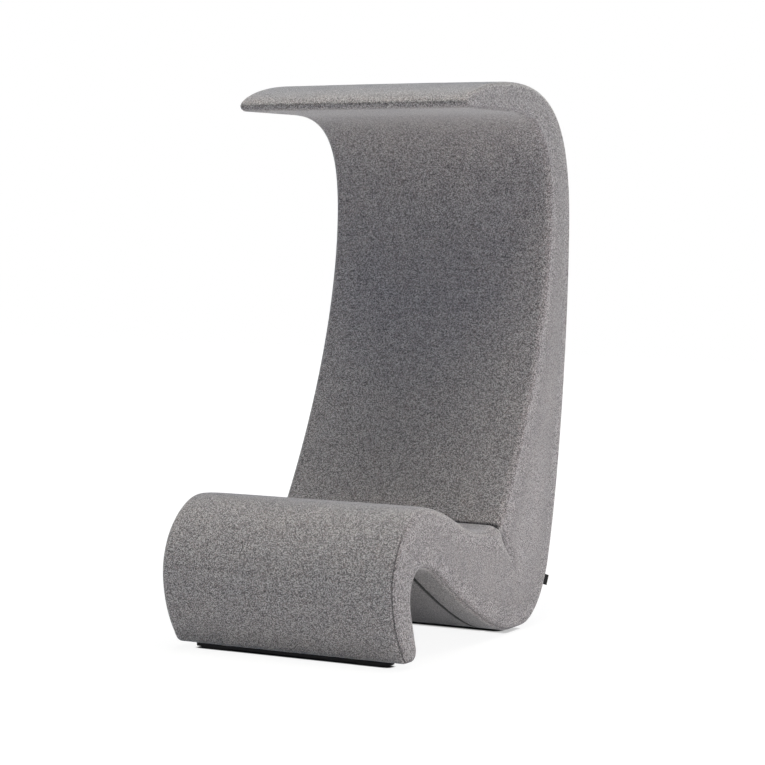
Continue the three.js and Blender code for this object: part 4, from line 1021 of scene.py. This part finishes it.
def makeCamera():
    az, el, roll = (math.radians(studio[k]) for k in ("azimuth", "elevation", "roll"))
    forward = Vector((-math.sin(az) * math.cos(el), math.cos(az) * math.cos(el), -math.sin(el)))
    right = Vector((math.cos(az), math.sin(az), 0))
    up = right.cross(forward)
    turnedRight = right * math.cos(roll) + up * math.sin(roll)
    turnedUp = -right * math.sin(roll) + up * math.cos(roll)
    data = bpy.data.cameras.new("camera")
    data.sensor_width, data.lens = studio["sensor"], studio["lens"]
    camera = addObject("camera", data)
    turn = Matrix((turnedRight, turnedUp, -forward)).transposed().to_4x4()
    camera.matrix_world = Matrix.Translation(studio["place"]) @ turn
    scene.camera = camera


def addRange(tree, value, source, target):
    return addNode(tree, "MapRange", dict(enumerate((value, *source, *target)))).outputs[0]


def addShown(tree):
    # 1 where the floor or wall is seen, straight or in something shiny, and 0 where it only lights
    path = addNode(tree, "LightPath").outputs
    bent = addMath(tree, "MAXIMUM", path["Is Glossy Ray"], path["Is Transmission Ray"])
    return addMath(tree, "MAXIMUM", path["Is Camera Ray"], bent)


def addSurface(tree, output, share, first, second):
    mix = addNode(tree, "MixShader", {0: share, 1: first.outputs[0], 2: second.outputs[0]})
    addNode(tree, output, {"Surface": mix.outputs[0]})


def makeFloor():
    bm = bmesh.new()
    bmesh.ops.create_grid(bm, x_segments=4, y_segments=4, size=studio["floorSize"])
    mesh = meshFrom("floor", bm)
    floor = addObject("floor", mesh)
    material = bpy.data.materials.new("pale floor")
    material.use_nodes = True
    tree = material.node_tree
    tree.nodes.clear()
    # far from the chair the floor is plain white, as the wall behind it
    place = addNode(tree, "TexCoord").outputs["Object"]
    away = addNode(tree, "VectorMath", {0: place}, operation="LENGTH").outputs["Value"]
    fade = addRange(tree, away, studio["floorFade"], (studio["floorShown"], 1))
    share = addMath(tree, "MULTIPLY", addShown(tree), fade)
    # a dark contact shadow right under the base boards and the glides
    reach = {"Distance": studio["contactReach"]}
    contact = addNode(tree, "AmbientOcclusion", reach, samples=studio["contactSamples"]).outputs["AO"]
    strength = addRange(tree, contact, studio["contactFade"], (0, studio["floorGlow"]))
    diffuse = addNode(tree, "BsdfDiffuse", {"Color": (*studio["floorColour"], 1)})
    glow = addNode(tree, "Emission", {"Color": (1, 1, 1, 1), "Strength": strength})
    addSurface(tree, "OutputMaterial", share, diffuse, glow)
    mesh.materials.append(material)


def makeWorld():
    world = bpy.data.worlds.new("studio")
    scene.world = world
    world.use_nodes = True
    tree = world.node_tree
    tree.nodes.clear()
    light, white = (addNode(tree, "Background", {"Color": (*colour, 1), "Strength": 1})
                    for colour in (studio["worldLight"], (1, 1, 1)))
    addSurface(tree, "OutputWorld", addShown(tree), light, white)


def makeLamps():
    for name, place, aim, size, watts, colour in studio["lamps"]:
        data = bpy.data.lights.new(name, "AREA")
        data.shape = "DISK"
        data.size = size
        data.energy = watts
        data.color = colour
        lamp = addObject(name, data)
        lamp.location = place
        lamp.rotation_mode = "QUATERNION"
        lamp.rotation_quaternion = (Vector(aim) - Vector(place)).to_track_quat("-Z", "Y")


makeCamera()
makeFloor()
makeWorld()
makeLamps()
scene.view_settings.view_transform = "Standard"
print("studio ready")
